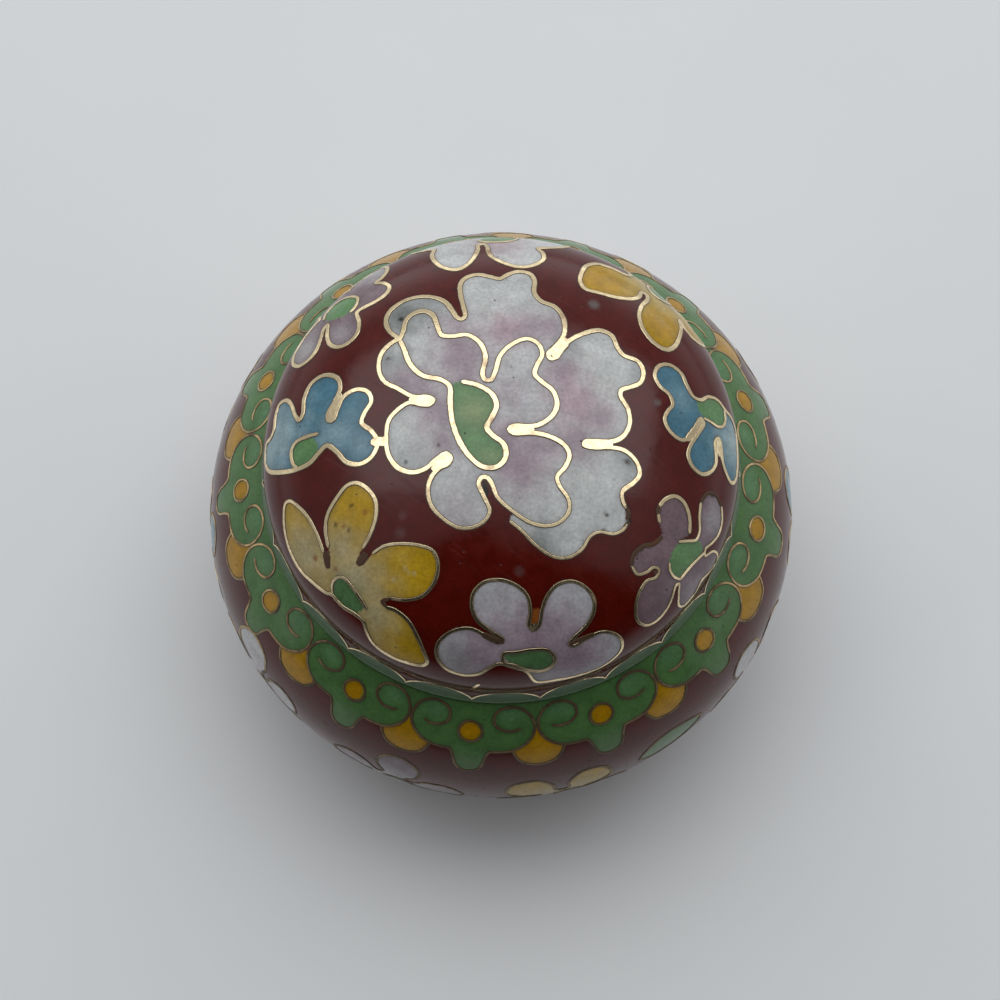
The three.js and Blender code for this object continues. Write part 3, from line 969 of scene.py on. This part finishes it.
@dataclass
class Wires:
    """Gathers wires that lie on one surface and sweeps them in one piece.

    Attributes:
        crest: height of the wires above the enamel, in millimetres.
        share: half their depth, as a share of the width.
        thick: wires wider than this get thinner towards the front.
        thin: how much thinner the thick ones get, where that starts and over what distance.
        shadow: how much darker the enamel is beside a wire, and how far that reaches.
        seed: fixed start for their unevenness.
    """

    crest: float = 0.055
    share: float = 0.13
    thick: float = 0.34
    thin: tuple[float, float, float] = (0.32, -4.5, 4.0)
    shadow: tuple[float, float] = (0.28, 0.2)
    seed: int = 11
    lines: list[tuple[np.ndarray, np.ndarray, np.ndarray, bool]] = field(default_factory=list)

    def __post_init__(self) -> None:
        """Starts the small unevenness."""
        self.rng = np.random.default_rng(self.seed)

    def add(self, place: np.ndarray, rise: np.ndarray, width: float, closed: bool) -> None:
        """Adds one wire, with the small unevenness of a hand-bent one.

        Args:
            place: points of its middle line, in millimetres.
            rise: the surface's direction at each.
            width: the wire's width.
            closed: whether it returns to its start.
        """
        knots = self.rng.uniform(-1, 1, max(3, len(place) // 9))
        uneven = np.interp(np.linspace(0, len(knots) - 1, len(place)), np.arange(len(knots)), knots)
        wide = width * (1 + 0.08 * uneven + 0.08 * self.rng.uniform(-1, 1, len(place)))
        if width > self.thick:
            share, start, reach = self.thin
            wide *= 1 - share * np.clip((start - place[:, 1]) / reach, 0, 1)
        if not closed:
            run = np.concatenate([[0.0], np.cumsum(np.linalg.norm(np.diff(place, axis=0), axis=1))])
            end = np.minimum(run, run[-1] - run) / (width / 2)
            wide *= np.sqrt(1 - (1 - np.clip(end, 0.12, 1)) ** 2)
        self.lines.append((place, rise, wide, closed))

    def shade(self, points: np.ndarray) -> np.ndarray:
        """Gives the share of its light that the enamel keeps at some points, because it is darker beside a wire."""
        places, _, wides = (np.concatenate(part) for part in list(zip(*self.lines))[:3])
        tree = kdtree.KDTree(len(places))
        for i, place in enumerate(places):
            tree.insert(place, i)
        tree.balance()
        nearest, distance = (np.array(part) for part in zip(*(tree.find(point)[1:] for point in points)))
        free = np.clip(distance - wides[nearest] / 2, 0, None)
        return (1 - self.shadow[0] * np.exp(-free / self.shadow[1]))[:, None]

    def sweep(self, name: str, finish: bpy.types.Material, seam: bpy.types.Material) -> bpy.types.Object:
        """Makes the piece.

        Args:
            name: its name.
            finish: the metal.
            seam: the dark edge beside the metal.

        Returns:
            The piece's object.
        """
        places, edges, start = [], [], 0
        for place, rise, wide, closed in self.lines:
            n = len(place)
            places.append(place + rise * (self.crest - self.share * wide)[:, None])
            edges += [(start + i, start + (i + 1) % n) for i in range(n if closed else n - 1)]
            start += n
        _, rises, wides, _ = zip(*self.lines)
        mesh = bpy.data.meshes.new(name + "_lines")
        mesh.from_pydata((np.vstack(places) * MM).tolist(), edges, [])
        mesh.attributes.new("rise", "FLOAT_VECTOR", "POINT").data.foreach_set("vector", np.vstack(rises).ravel())
        mesh.attributes.new("wide", "FLOAT", "POINT").data.foreach_set("value", np.concatenate(wides) * MM)
        return wiring().make(name, mesh, {
            "Height share": self.share, "Corner share": 0.11, "Seam width": 0.11 * MM, "Crest": self.crest * MM,
            "Seam crest": 0.012 * MM, "Finish": finish, "Seam finish": seam})


def turned(name: str, points: Knots | np.ndarray, sides: int, finish: bpy.types.Material,
           arc: np.ndarray | None = None) -> bpy.types.Object:
    """Turns a closed profile into a piece, its faces outwards.

    Args:
        name: the piece's name.
        points: radius and height in order, in millimetres.
        sides: number of columns round the axis.
        finish: its material.
        arc: the enamel's distance along the outline at each point.

    Returns:
        The piece's object.
    """
    profile = bpy.data.meshes.new(name + "_profile")
    edges = [(i, i + 1) for i in range(len(points) - 1)]
    profile.from_pydata([(r * MM, 0.0, z * MM) for r, z in points], edges, [])
    values = np.full(len(points), NO_ENAMEL) if arc is None else arc
    profile.attributes.new("arc", "FLOAT", "POINT").data.foreach_set("value", values)
    piece = turning().make(name, profile, {"Sides": sides, "Weld distance": 0.002 * MM, "Finish": finish})
    mesh = piece.data
    mesh.calc_loop_triangles()
    corners = read(mesh.loop_triangles, "vertices", 3, int)
    places = read(mesh.vertices, "co", 3)
    a, b, c = (places[corners[:, i]] for i in range(3))
    if np.einsum("ij,ij->", a, np.cross(b, c)) < 0:
        mesh.flip_normals()
    return piece


def own(piece: bpy.types.Object, slot: str, node: str) -> None:
    """Gives a piece its body, hides the solid that it stands for, and reports it."""
    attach(piece, "root")
    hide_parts(node)
    piece.data.calc_loop_triangles()
    log.info("%s: %d triangles", piece.name, len(piece.data.loop_triangles))


class Inlay:
    """The colours laid on an enamelled piece, one for each vertex."""

    def __init__(self, piece: bpy.types.Object):
        """Covers the piece with the ground colour and finds where its vertices are."""
        self.piece = piece
        self.places = read(piece.data.vertices, "co", 3)
        self.arcs = read(piece.data.attributes["arc"].data, "value")
        self.turn = np.arctan2(self.places[:, 1], self.places[:, 0])
        self.colours = np.tile(np.array(GROUND.value), (len(self.places), 1))

    def fill(self, points: np.ndarray, motif: Motif) -> None:
        """Fills a motif's cells with their enamel.

        Args:
            points: the vertices in the motif's own millimetres.
            motif: what is drawn.
        """
        points = np.where(self.arcs[:, None] < 0, OFF_CHART, points)
        for cell in motif.cells:
            followed = [] if cell.run is None else motif.runs[cell.run].knots
            mask = inside(points, smooth(followed + cell.knots, True, 0.3))
            laid = np.tile(np.array(cell.colour.value), (int(mask.sum()), 1))
            x, y = points[mask].T
            for tint in cell.tints:
                drift = 1 + 0.2 * np.sin(2.3 * x + 1.1 * y) * np.sin(1.9 * y - 0.8 * x + tint.x)
                far = drift * np.hypot(x - tint.x, y - tint.y) / tint.reach
                share = (tint.strength * np.exp(-far**2))[:, None]
                laid = laid * (1 - share) + np.array(tint.colour.value) * share
            self.colours[mask] = laid

    def stain(self, points: np.ndarray, marks: tuple[Mark, ...]) -> None:
        """Lays small marks over the colours."""
        for mark in marks:
            far = np.hypot(points[:, 0] - mark.x, points[:, 1] - mark.y) / mark.reach
            near = np.flatnonzero((far < 2.5) & (self.arcs >= 0))
            share = (mark.strength * np.exp(-far[near] ** 4))[:, None]
            self.colours[near] = self.colours[near] * (1 - share) + np.array(mark.colour.value) * share

    def store(self, wires: Wires) -> bpy.types.Object:
        """Darkens the enamel beside some wires, stores the colours and gives the piece."""
        self.colours[:, :3] *= wires.shade(self.places / MM)
        layer = self.piece.data.color_attributes.new("enamel", "FLOAT_COLOR", "POINT")
        layer.data.foreach_set("color", self.colours.astype(np.float32).ravel())
        return self.piece


# The jar

@dataclass
class Lid:
    """The domed lid: enamelled outside with flowers, a gilt rim and a plain enamel lining.

    All sizes are in millimetres and those of the solids.
    """

    node: str = "jar_lid"
    radius: float = 23.05
    side_radius: float = 22.4
    wall: float = 1.6
    edge: float = 31.141
    side: float = 3.0
    flare_height: float = 1.9
    rim: float = 0.35
    rise: float = 9.6
    inset: float = 0.1
    sides: int = 640
    arcs: int = 23
    arc_turn: float = -81.0
    outline: Outline = field(init=False)
    flare_end: float = field(init=False)

    def __post_init__(self) -> None:
        """Draws the outline from the middle of the dome to the rim."""
        t = np.linspace(math.pi / 2, 0, 400)
        base, low = self.edge + self.side, self.edge + self.rim
        dome = np.stack([self.side_radius * np.cos(t), base + self.rise * np.sin(t)], -1)
        dome[0, 0] = 0.0
        side = np.stack([np.full(9, self.side_radius), np.linspace(base, self.edge + self.flare_height, 10)[1:]], -1)
        share = np.linspace(1, 0, 30)[1:]
        flare = np.stack([
            self.radius - (self.radius - self.side_radius) * np.sin(share * math.pi / 2),
            low + (self.flare_height - self.rim) * share], -1)
        band = np.stack([np.full(4, self.radius), np.linspace(low, self.edge + 0.05, 5)[1:]], -1)
        self.outline = Outline(np.vstack([dome, side, flare, band]), self.inset)
        self.flare_end = self.outline.arc[-5]

    def build(self, finishes: dict[str, bpy.types.Material]) -> Pieces:
        """Makes the lid's pieces, each with its slot."""
        seam = finishes["wire_edge"]
        yield self.build_enamel(finishes["cloisonne_enamel"]), "cloisonne_enamel"
        yield self.wires(False).sweep("lid_wires", finishes["gilt_wire"], seam), "gilt_wire"
        yield self.wires(True).sweep("lid_dull_wires", finishes["dull_wire"], seam), "gilt_wire"
        yield self.build_rim(finishes["gilt_rim"]), "gilt_wire"
        yield self.build_lining(finishes["counter_enamel"]), "counter_enamel"

    def scallop(self, turn: np.ndarray) -> np.ndarray:
        """Gives the distance of the scalloped line from the middle of the dome at some azimuths."""
        share = np.mod((np.degrees(turn) - self.arc_turn) * self.arcs / 360, 1.0)
        return self.flare_end - 0.35 - 1.25 * np.sin(math.pi * share) ** 0.7

    def wires(self, dull: bool) -> Wires:
        """Gathers the wires that have lost their gilding, or else the bright ones with the scalloped line.

        The middle of the motifs' flat chart is the middle of the dome.
        """
        wires = Wires()
        for run in (run for motif in LID_MOTIFS for run in motif.runs if run.dull == dull):
            x, y = smooth(run.knots, run.closed).T
            wires.add(*self.outline.lay(np.arctan2(y, x), np.hypot(x, y)), run.width, run.closed)
        if not dull:
            turn = np.linspace(0, math.tau, self.arcs * 34, endpoint=False)
            wires.add(*self.outline.lay(turn, self.scallop(turn)), 0.15, True)
        return wires

    def build_enamel(self, finish: bpy.types.Material) -> bpy.types.Object:
        """Makes the enamelled outside with its inlaid colours."""
        total = self.outline.arc[-1]
        arc = np.append(np.arange(0, total, 0.23), total)
        back, _ = self.outline.at(np.linspace(total, 0, BACK_ROWS), -0.7)
        back[-1, 0] = 0.0
        inlay = Inlay(turned("lid_enamel", np.vstack([self.outline.at(arc)[0], back]), self.sides, finish,
                             np.append(arc, [NO_ENAMEL] * BACK_ROWS)))
        inlay.colours[(inlay.arcs > 0) & (inlay.arcs > self.scallop(inlay.turn))] = MOSS.value
        chart = np.stack([inlay.arcs * np.cos(inlay.turn), inlay.arcs * np.sin(inlay.turn)], -1)
        for motif in LID_MOTIFS:
            inlay.fill(chart, motif)
        inlay.stain(chart, LID_MARKS)
        return inlay.store(self.wires(False))

    def build_rim(self, finish: bpy.types.Material) -> bpy.types.Object:
        """Makes the plain metal rim."""
        bore, edge, outer, top = self.side_radius - self.wall, self.edge, self.radius, self.edge + self.rim
        return turned("lid_rim", [
            (bore, edge + 0.06), (bore + 0.06, edge), (outer - 0.2, edge), (outer - 0.12, edge + 0.08),
            (outer - 0.3, top + 0.02), (outer - 0.9, top + 0.3), (bore, top + 0.3), (bore, edge + 0.06)], 256, finish)

    def build_lining(self, finish: bpy.types.Material) -> bpy.types.Object:
        """Makes the plain enamel inside the lid."""
        bore, base, rise = self.side_radius - self.wall, self.edge + self.side, self.rise - self.wall
        t = np.linspace(0, math.pi / 2, 40)
        low, high = (np.stack([(bore + thick) * np.cos(t), base + (rise + thick) * np.sin(t)], -1)
                     for thick in (0, 0.6))
        low[-1, 0] = high[-1, 0] = 0.0
        foot = self.edge + self.rim + 0.25
        points = np.vstack([[(bore, foot)], low, high[::-1], [(bore + 0.6, foot), (bore, foot)]])
        return turned("lid_lining", points, 192, finish)


@dataclass
class Body:
    """The squat body: a collar of scroll heads on the shoulder, flowers round the belly, a foot ring and a neck.

    All sizes are in millimetres and those of the solids.

    Attributes:
        heads: azimuths of the collar's scroll heads, in order.
        hook: half of one head's wire, in degrees from its middle at even spacing and distance from the lid.
        moon: half of the half moon between two heads, in degrees from its middle and distance from the lid.
        moon_line: its wire, from one side to the middle.
        flat: degrees that are about a millimetre on the collar.
        seat: height of the lid's seat.
        even: half of the gap between two heads if they were evenly spaced, in degrees.
        gaps: half of each head's gaps to its left and its right neighbour, in degrees.
    """

    node: str = "jar_body"
    radius: float = 30.0
    waist: float = 19.0
    bulge: float = 18.0
    shoulder_rise: float = 15.0
    belly_end: float = 78.0
    lid_radius: float = 23.05
    neck_radius: float = 20.4
    mouth_radius: float = 19.2
    neck_height: float = 3.0
    wall: float = 1.6
    foot_height: float = 2.0
    foot_flare: float = 0.8
    foot_width: float = 1.6
    inset: float = 0.1
    sides: int = 640
    heads: tuple[float, ...] = (
        -202.5, -176.0, -149.5, -122.5, -96.5, -68.5, -41.0, -13.0, 17.5, 45.5, 73.5, 101.5, 129.5)
    hook: tuple[tuple[float, float], ...] = (
        (10.6, 2.5), (9.2, 2.75), (6.6, 2.6), (5.0, 1.9), (5.2, 0.95), (7.2, 0.35), (10.2, 0.35), (12.6, 1.1),
        (13.5, 2.3), (12.9, 3.4), (11.0, 4.4), (8.6, 5.0), (5.6, 5.15), (4.1, 5.2), (3.3, 5.9), (2.5, 7.2),
        (1.3, 7.8), (0.0, 7.9))
    moon: tuple[tuple[float, float], ...] = (
        (-0.1, 2.4), (0.4, 2.4), (1.4, 3.4), (2.9, 4.5), (5.0, 5.0), (4.6, 5.7), (3.4, 6.5), (1.8, 6.95), (-0.1, 7.05))
    moon_line: tuple[tuple[float, float], ...] = ((-5.3, 4.9), (-4.6, 5.75), (-3.2, 6.6), (0.0, 7.05))
    flat: float = 2.3
    outline: Outline = field(init=False)
    seat: float = field(init=False)
    even: float = field(init=False)
    gaps: np.ndarray = field(init=False)

    def __post_init__(self) -> None:
        """Draws the outline from the lid's seat to the foot."""
        self.outline = Outline(self.curve(600)[0], self.inset)
        self.seat = float(self.outline.points[0, 1])
        self.even = 180 / len(self.heads)
        step = np.diff(np.append(self.heads, self.heads[0] + 360)) / 2
        self.gaps = np.stack([np.roll(step, 1), step])

    def build(self, finishes: dict[str, bpy.types.Material]) -> Pieces:
        """Makes the body's pieces, each with its slot."""
        worn, seam, rim, plain = (finishes[name] for name in ("worn_wire", "wire_edge", "gilt_rim", "counter_enamel"))
        yield self.build_enamel(finishes["cloisonne_enamel"]), "cloisonne_enamel"
        yield self.collar_wires().sweep("collar_wires", worn, seam), "gilt_wire"
        yield self.belly_wires().sweep("belly_wires", worn, seam), "gilt_wire"
        yield self.build_neck(rim), "gilt_wire"
        yield self.build_foot(rim), "gilt_wire"
        yield self.build_lining(plain), "counter_enamel"
        yield self.build_base(plain), "counter_enamel"

    def curve(self, count: int) -> tuple[np.ndarray, np.ndarray]:
        """Gives points of the solid's outer curve from the seat to the foot, and its directions there."""
        core, end = self.radius - self.bulge, math.radians(self.belly_end)
        t = np.linspace(math.acos((self.lid_radius - core) / self.bulge), -end, count)
        high = np.where(t < 0, (self.waist - self.foot_height) / math.sin(end), self.shoulder_rise)
        normal = np.stack([high * np.cos(t), self.bulge * np.sin(t)], -1)
        points = np.stack([core + self.bulge * np.cos(t), self.waist + high * np.sin(t)], -1)
        return points, normal / np.hypot(*normal.T)[:, None]

    def across_heads(self, turn: np.ndarray) -> np.ndarray:
        """Turns azimuths into degrees from the nearest head's middle, as if the heads were evenly spaced."""
        best = np.full(len(turn), OFF_CHART)
        for middle, (left, right) in zip(self.heads, self.gaps.T):
            off = np.mod(turn - middle + 180, 360) - 180
            scaled = np.where(off < 0, off / left, off / right) * self.even
            best = np.where(np.abs(scaled) < np.abs(best), scaled, best)
        return best

    def belly_motifs(self) -> list[tuple[float, float, Motif]]:
        """Gives the flowers and leaves round the belly, each with its azimuth and distance from the lid."""
        kinds = [
            (-174, 15.4, BLUE, ICE, 74), (-143, 15.0, WHITE, ROSE, 110), (-111, 15.2, VIOLET, PEARL, 84),
            (-78, 15.6, YELLOW, STRAW, 60), (-33, 16.0, WHITE, ROSE, 98), (-2, 15.4, BLUE, ICE, 70),
            (29, 15.6, YELLOW, STRAW, 92), (60, 15.4, VIOLET, PEARL, 80), (92, 15.4, WHITE, ROSE, 102),
            (123, 15.6, YELLOW, STRAW, 66), (154, 15.4, VIOLET, PEARL, 96)]
        placed = [(a, s, belly_flower(c, h, t, 7.2, i)) for i, (a, s, c, h, t) in enumerate(kinds)]
        placed.append((-56, 12.0, leaf(8, 7.5)))
        turns = [k[0] for k in kinds] + [kinds[0][0] + 360]
        for i, (a, b) in enumerate(zip(turns, turns[1:])):
            placed.append(((a + b) / 2, 22.6 + (i % 2) * 0.8, leaf(28 + 124 * (i % 2), 5.0)))
        return placed

    def build_enamel(self, finish: bpy.types.Material) -> bpy.types.Object:
        """Makes the enamelled outside with its collar and flowers, the collar in finer rows."""
        total, level = self.outline.arc[-1], self.seat - 0.02
        arc = np.concatenate([np.arange(0, 8.4, 0.2), np.arange(8.4, 26, 0.3), np.linspace(26, total, 16)])
        seat = [(self.lid_radius - 0.5, level), (self.lid_radius - 0.12, level)]
        back, _ = self.outline.at(np.linspace(total, 0, BACK_ROWS), -0.6)
        points = np.vstack([seat, self.outline.at(arc)[0], back, seat[:1]])
        marks = np.concatenate([[-0.2, -0.1], arc, [NO_ENAMEL] * BACK_ROWS, [-0.2]])
        inlay = Inlay(turned("body_enamel", points, self.sides, finish, marks))
        self.fill_collar(inlay)
        for azimuth, s, motif in self.belly_motifs():
            off = np.mod(inlay.turn - math.radians(azimuth) + math.pi, math.tau) - math.pi
            inlay.fill(np.stack([off * self.outline.radius(s), s - inlay.arcs], -1), motif)
        return inlay.store(self.collar_wires())

    def fill_collar(self, inlay: Inlay) -> None:
        """Lays the collar's green, its half moons and its dots."""
        across, arcs, wide = self.across_heads(np.degrees(inlay.turn)), inlay.arcs, self.even + 0.1
        half = self.hook[8:]
        edge = smooth([(-a, s) for a, s in half] + list(half[::-1][1:]), False, 0.3)
        low = np.vstack([edge, [(wide, 2.3), (wide, -0.2), (-wide, -0.2), (-wide, 2.3)]])
        green = inside(np.stack([across, arcs], -1), low) & (arcs > -0.5)
        curl = 0.5 * np.exp(-(((np.abs(across) - 8.5) / 3.2) ** 2) - ((arcs - 1.1) / 1.1) ** 2)[:, None]
        inlay.colours[green] = (np.array(COLLAR.value) * (1 - curl) + np.array(MINT.value) * curl)[green]
        moon = inside(np.stack([np.abs(np.abs(across) - self.even), arcs], -1), np.array(self.moon))
        dot = np.hypot(across * 0.44, arcs - 2.9) < 1.0
        inlay.colours[((moon & ~green) | dot) & (arcs > 0)] = AMBER.value

    def collar_wires(self) -> Wires:
        """Gathers the wires of the shoulder's collar, which are drawn in millimetres and turned into azimuths."""
        wires = Wires()
        hook, moon = ([(a / self.flat, s) for a, s in knots] for knots in (self.hook, self.moon_line))
        moon += [(-x, s) for x, s in moon[-2::-1]]
        dot = ring(0, 2.9, 1.12, 12)
        for middle, left, right in zip(self.heads, *self.gaps):
            for knots, side, width, closed in ((hook, -1, 0.2, False), (hook, 1, 0.2, False), (dot, 1, 0.17, True)):
                x, arc = smooth(knots, closed, 0.2).T
                across = side * x * self.flat
                turn = middle + across * np.where(across < 0, left, right) / self.even
                wires.add(*self.outline.lay(np.radians(turn), arc), width, closed)
            x, arc = smooth(moon, False, 0.2).T
            wires.add(*self.outline.lay(np.radians(middle + right + x * self.flat), arc), 0.17, False)
        return wires

    def belly_wires(self) -> Wires:
        """Gathers the wires round the belly, the last one round its foot."""
        wires = Wires()
        for azimuth, s, motif in self.belly_motifs():
            for run in motif.runs:
                x, y = smooth(run.knots, run.closed, 0.3).T
                turn = math.radians(azimuth) + x / self.outline.radius(s)
                wires.add(*self.outline.lay(turn, s - y), run.width, run.closed)
        turn = np.linspace(0, math.tau, 420, endpoint=False)
        wires.add(*self.outline.lay(turn, np.full(len(turn), self.outline.arc[-1] - 2.4)), 0.4, True)
        return wires

    def build_lining(self, finish: bpy.types.Material) -> bpy.types.Object:
        """Makes the plain enamel inside the body."""
        outer, normal = self.curve(60)
        mouth, ceiling = self.mouth_radius, self.seat - self.wall
        inner, behind = outer - self.wall * normal, outer - 0.9 * normal
        inner[:, 1] = np.minimum(inner[:, 1], ceiling)
        behind[:, 1] = np.minimum(behind[:, 1], ceiling + 0.5)
        points = np.vstack([[(mouth, ceiling)], inner, [(0, inner[-1, 1]), (0, behind[-1, 1])], behind[::-1],
                            [(mouth, ceiling + 0.5), (mouth, ceiling)]])
        return turned("body_lining", points, 192, finish)

    def build_neck(self, finish: bpy.types.Material) -> bpy.types.Object:
        """Makes the metal neck and the flat seat for the lid."""
        seat, top, low = self.seat, self.seat + self.neck_height, self.seat - self.wall + 0.4
        outer, inner, edge = self.neck_radius, self.mouth_radius, self.lid_radius - 0.46
        return turned("neck", [
            (edge, seat - 0.12), (edge, seat), (outer + 0.12, seat), (outer, seat + 0.12), (outer, top - 0.3),
            (outer - 0.1, top - 0.1), (outer - 0.3, top), (inner + 0.3, top), (inner + 0.1, top - 0.1),
            (inner, top - 0.3), (inner, low), (self.lid_radius - 0.8, low), (edge, seat - 0.12)], 256, finish)

    def build_foot(self, finish: bpy.types.Material) -> bpy.types.Object:
        """Makes the metal foot ring."""
        top, high = float(self.outline.points[-1, 0]), self.foot_height
        outer, inner = top + self.foot_flare, top + self.foot_flare - self.foot_width
        return turned("foot_ring", [
            (inner - 0.4, high), (inner, 0.3), (inner + 0.09, 0.09), (inner + 0.3, 0.0), (outer - 0.3, 0.0),
            (outer - 0.09, 0.09), (outer, 0.3), (outer - 0.1, 0.9), (outer - 0.3, 1.4), (top + 0.12, high),
            (top + 0.34, high + 0.12), (top + 0.1, high + 0.3), (top - 0.6, high + 0.3), (inner - 0.4, high)],
            256, finish)

    def build_base(self, finish: bpy.types.Material) -> bpy.types.Object:
        """Makes the plain enamel under the jar, inside the foot ring."""
        inner = float(self.outline.points[-1, 0]) + self.foot_flare - self.foot_width
        return turned("base_enamel", [(0, 2.05), (inner - 2.2, 2.04), (inner - 1.0, 1.98), (inner - 0.3, 1.9),
                                      (inner - 0.3, 2.6), (0, 2.6)], 192, finish)


@dataclass(frozen=True)
class Studio:
    """A pale table, a soft light and the camera at the photograph's angle.

    Attributes:
        elevation: the camera's angle above the table, in degrees.
        distance: from the camera to the point it looks at, in millimetres.
        focal: the camera's focal length as a share of the picture's width, in thousandths.
        aim: height of the point it looks at.
        shift: how far the picture is moved sideways and up.
        ceiling, walls, horizon, window: brightness of the parts of the room.
        viewer: brightness of the dark place where the viewer stands, its offset to the side, its spread and its start.
        table: radius of the table, in metres.
        lamp: where the light stands, in metres.
        lamp_size: its width and height.
        lamp_power: its power in watts.
        lamp_colour: its colour.
    """

    elevation: float = 72.0
    distance: float = 150.0
    focal: float = 1444.0
    aim: float = 19.0
    shift: tuple[float, float] = (-0.0011, 0.005)
    ceiling: float = 0.52
    walls: float = 0.35
    horizon: float = 2.2
    window: float = 1.7
    viewer: tuple[float, float, float, float] = (0.05, 0.08, 0.45, 0.03)
    table: float = 1.2
    lamp: tuple[float, float, float] = (0.0, 0.16, 0.36)
    lamp_size: tuple[float, float] = (0.62, 0.31)
    lamp_power: float = 0.79
    lamp_colour: tuple[float, float, float] = (0.97, 0.99, 1.0)

    def build(self) -> None:
        """Makes the table, the surroundings, the light and the camera."""
        mesh = bpy.data.meshes.new("table")
        mesh.from_pydata([(x, y, 0.0) for x, y in ring(0, 0, self.table, 96)], [], [tuple(range(96))])
        mesh.materials.append(Tabletop().material())
        table = bpy.data.objects.new("table", mesh)
        bpy.context.collection.objects.link(table)
        table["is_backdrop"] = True
        self.build_room()
        self.build_lamp()
        self.build_camera()

    def build_room(self) -> None:
        """Makes a soft bright room with a bright ceiling, and a dark place where the viewer stands."""
        world = bpy.data.worlds.new("room")
        bpy.context.scene.world = world
        world.use_nodes = True
        nodes = Nodes(world.node_tree)
        across, back, up = nodes.split(nodes.out("ShaderNodeTexCoord", {}, "Generated"))
        dark, side, spread, start = self.viewer
        front = (across + side).math("ABSOLUTE") * spread + back + start
        level = (up.ramp(0.55, 0.85, self.walls, self.ceiling, "SMOOTHSTEP")
                 * back.ramp(0.68, 0.95, 1.0, self.window, "SMOOTHSTEP")
                 * up.ramp(0.08, 0.4, self.horizon, 1.0, "SMOOTHSTEP")
                 * front.ramp(-0.12, 0.0, dark, 1.0, "SMOOTHSTEP"))
        shine = nodes.out("ShaderNodeBackground", {"Color": (0.96, 0.985, 1.0, 1.0), "Strength": level})
        nodes.node("ShaderNodeOutputWorld", {"Surface": shine})
        bpy.context.scene.view_settings.view_transform = "Standard"

    def build_lamp(self) -> None:
        """Adds a soft rectangular light that faces the jar."""
        data = bpy.data.lights.new("overhead", "AREA")
        data.shape = "RECTANGLE"
        data.size, data.size_y = self.lamp_size
        data.energy, data.color = self.lamp_power, self.lamp_colour
        lamp = bpy.data.objects.new("overhead", data)
        lamp.location = self.lamp
        lamp.rotation_euler = (Vector((0, 0, 0.02)) - Vector(self.lamp)).to_track_quat("-Z", "Y").to_euler()
        bpy.context.collection.objects.link(lamp)
        lamp.visible_camera = False
        lamp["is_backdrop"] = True

    def build_camera(self) -> None:
        """Sets the camera as the photograph was taken."""
        data = bpy.data.cameras.new("camera")
        data.sensor_width = 36.0
        data.lens = 36.0 * self.focal / 1000
        data.shift_x, data.shift_y = self.shift
        data.clip_start, data.clip_end = 0.01, 10.0
        camera = bpy.data.objects.new("camera", data)
        c, s = math.cos(math.radians(self.elevation)), math.sin(math.radians(self.elevation))
        back, up = Vector((0, -c, s)), Vector((0, s, c))
        eye = (Vector((0, 0, self.aim)) + self.distance * back) * MM
        turn = Matrix((up.cross(back), up, back)).transposed()
        camera.matrix_world = Matrix.Translation(eye) @ turn.to_4x4()
        bpy.context.collection.objects.link(camera)
        bpy.context.scene.camera = camera


def main() -> dict:
    """Builds the jar and the studio round it.

    Returns:
        The sizes of the solids and of the finished jar.
    """
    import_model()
    before = [list(corner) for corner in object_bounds()]
    finishes = {finish.name: finish.material() for finish in (
        InlaidEnamel(), Gilding(), Tarnish(), PlainEnamel(),
        # Body wires: the 0.75 browns them towards the jar's front as painted shade, and their dull brown is dark to
        # match that painted shade.
        Gilding("worn_wire", srgb(226, 196, 144), 0.55, 0.22, 0.75, srgb(76, 56, 38)),
        Gilding("dull_wire", srgb(116, 86, 62), 1.0, 0.4, 0.0, srgb(84, 62, 48)),
        Gilding("gilt_rim", srgb(196, 160, 112), 0.6, 0.36))}
    for vessel in (Lid(), Body()):
        for piece, slot in vessel.build(finishes):
            own(piece, slot, vessel.node)
    Studio().build()
    return {"frame": before, "scene": [list(corner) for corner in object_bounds()]}


if __name__ == "__main__":
    logging.basicConfig(level=logging.INFO, format="%(message)s")
    sizes = main()
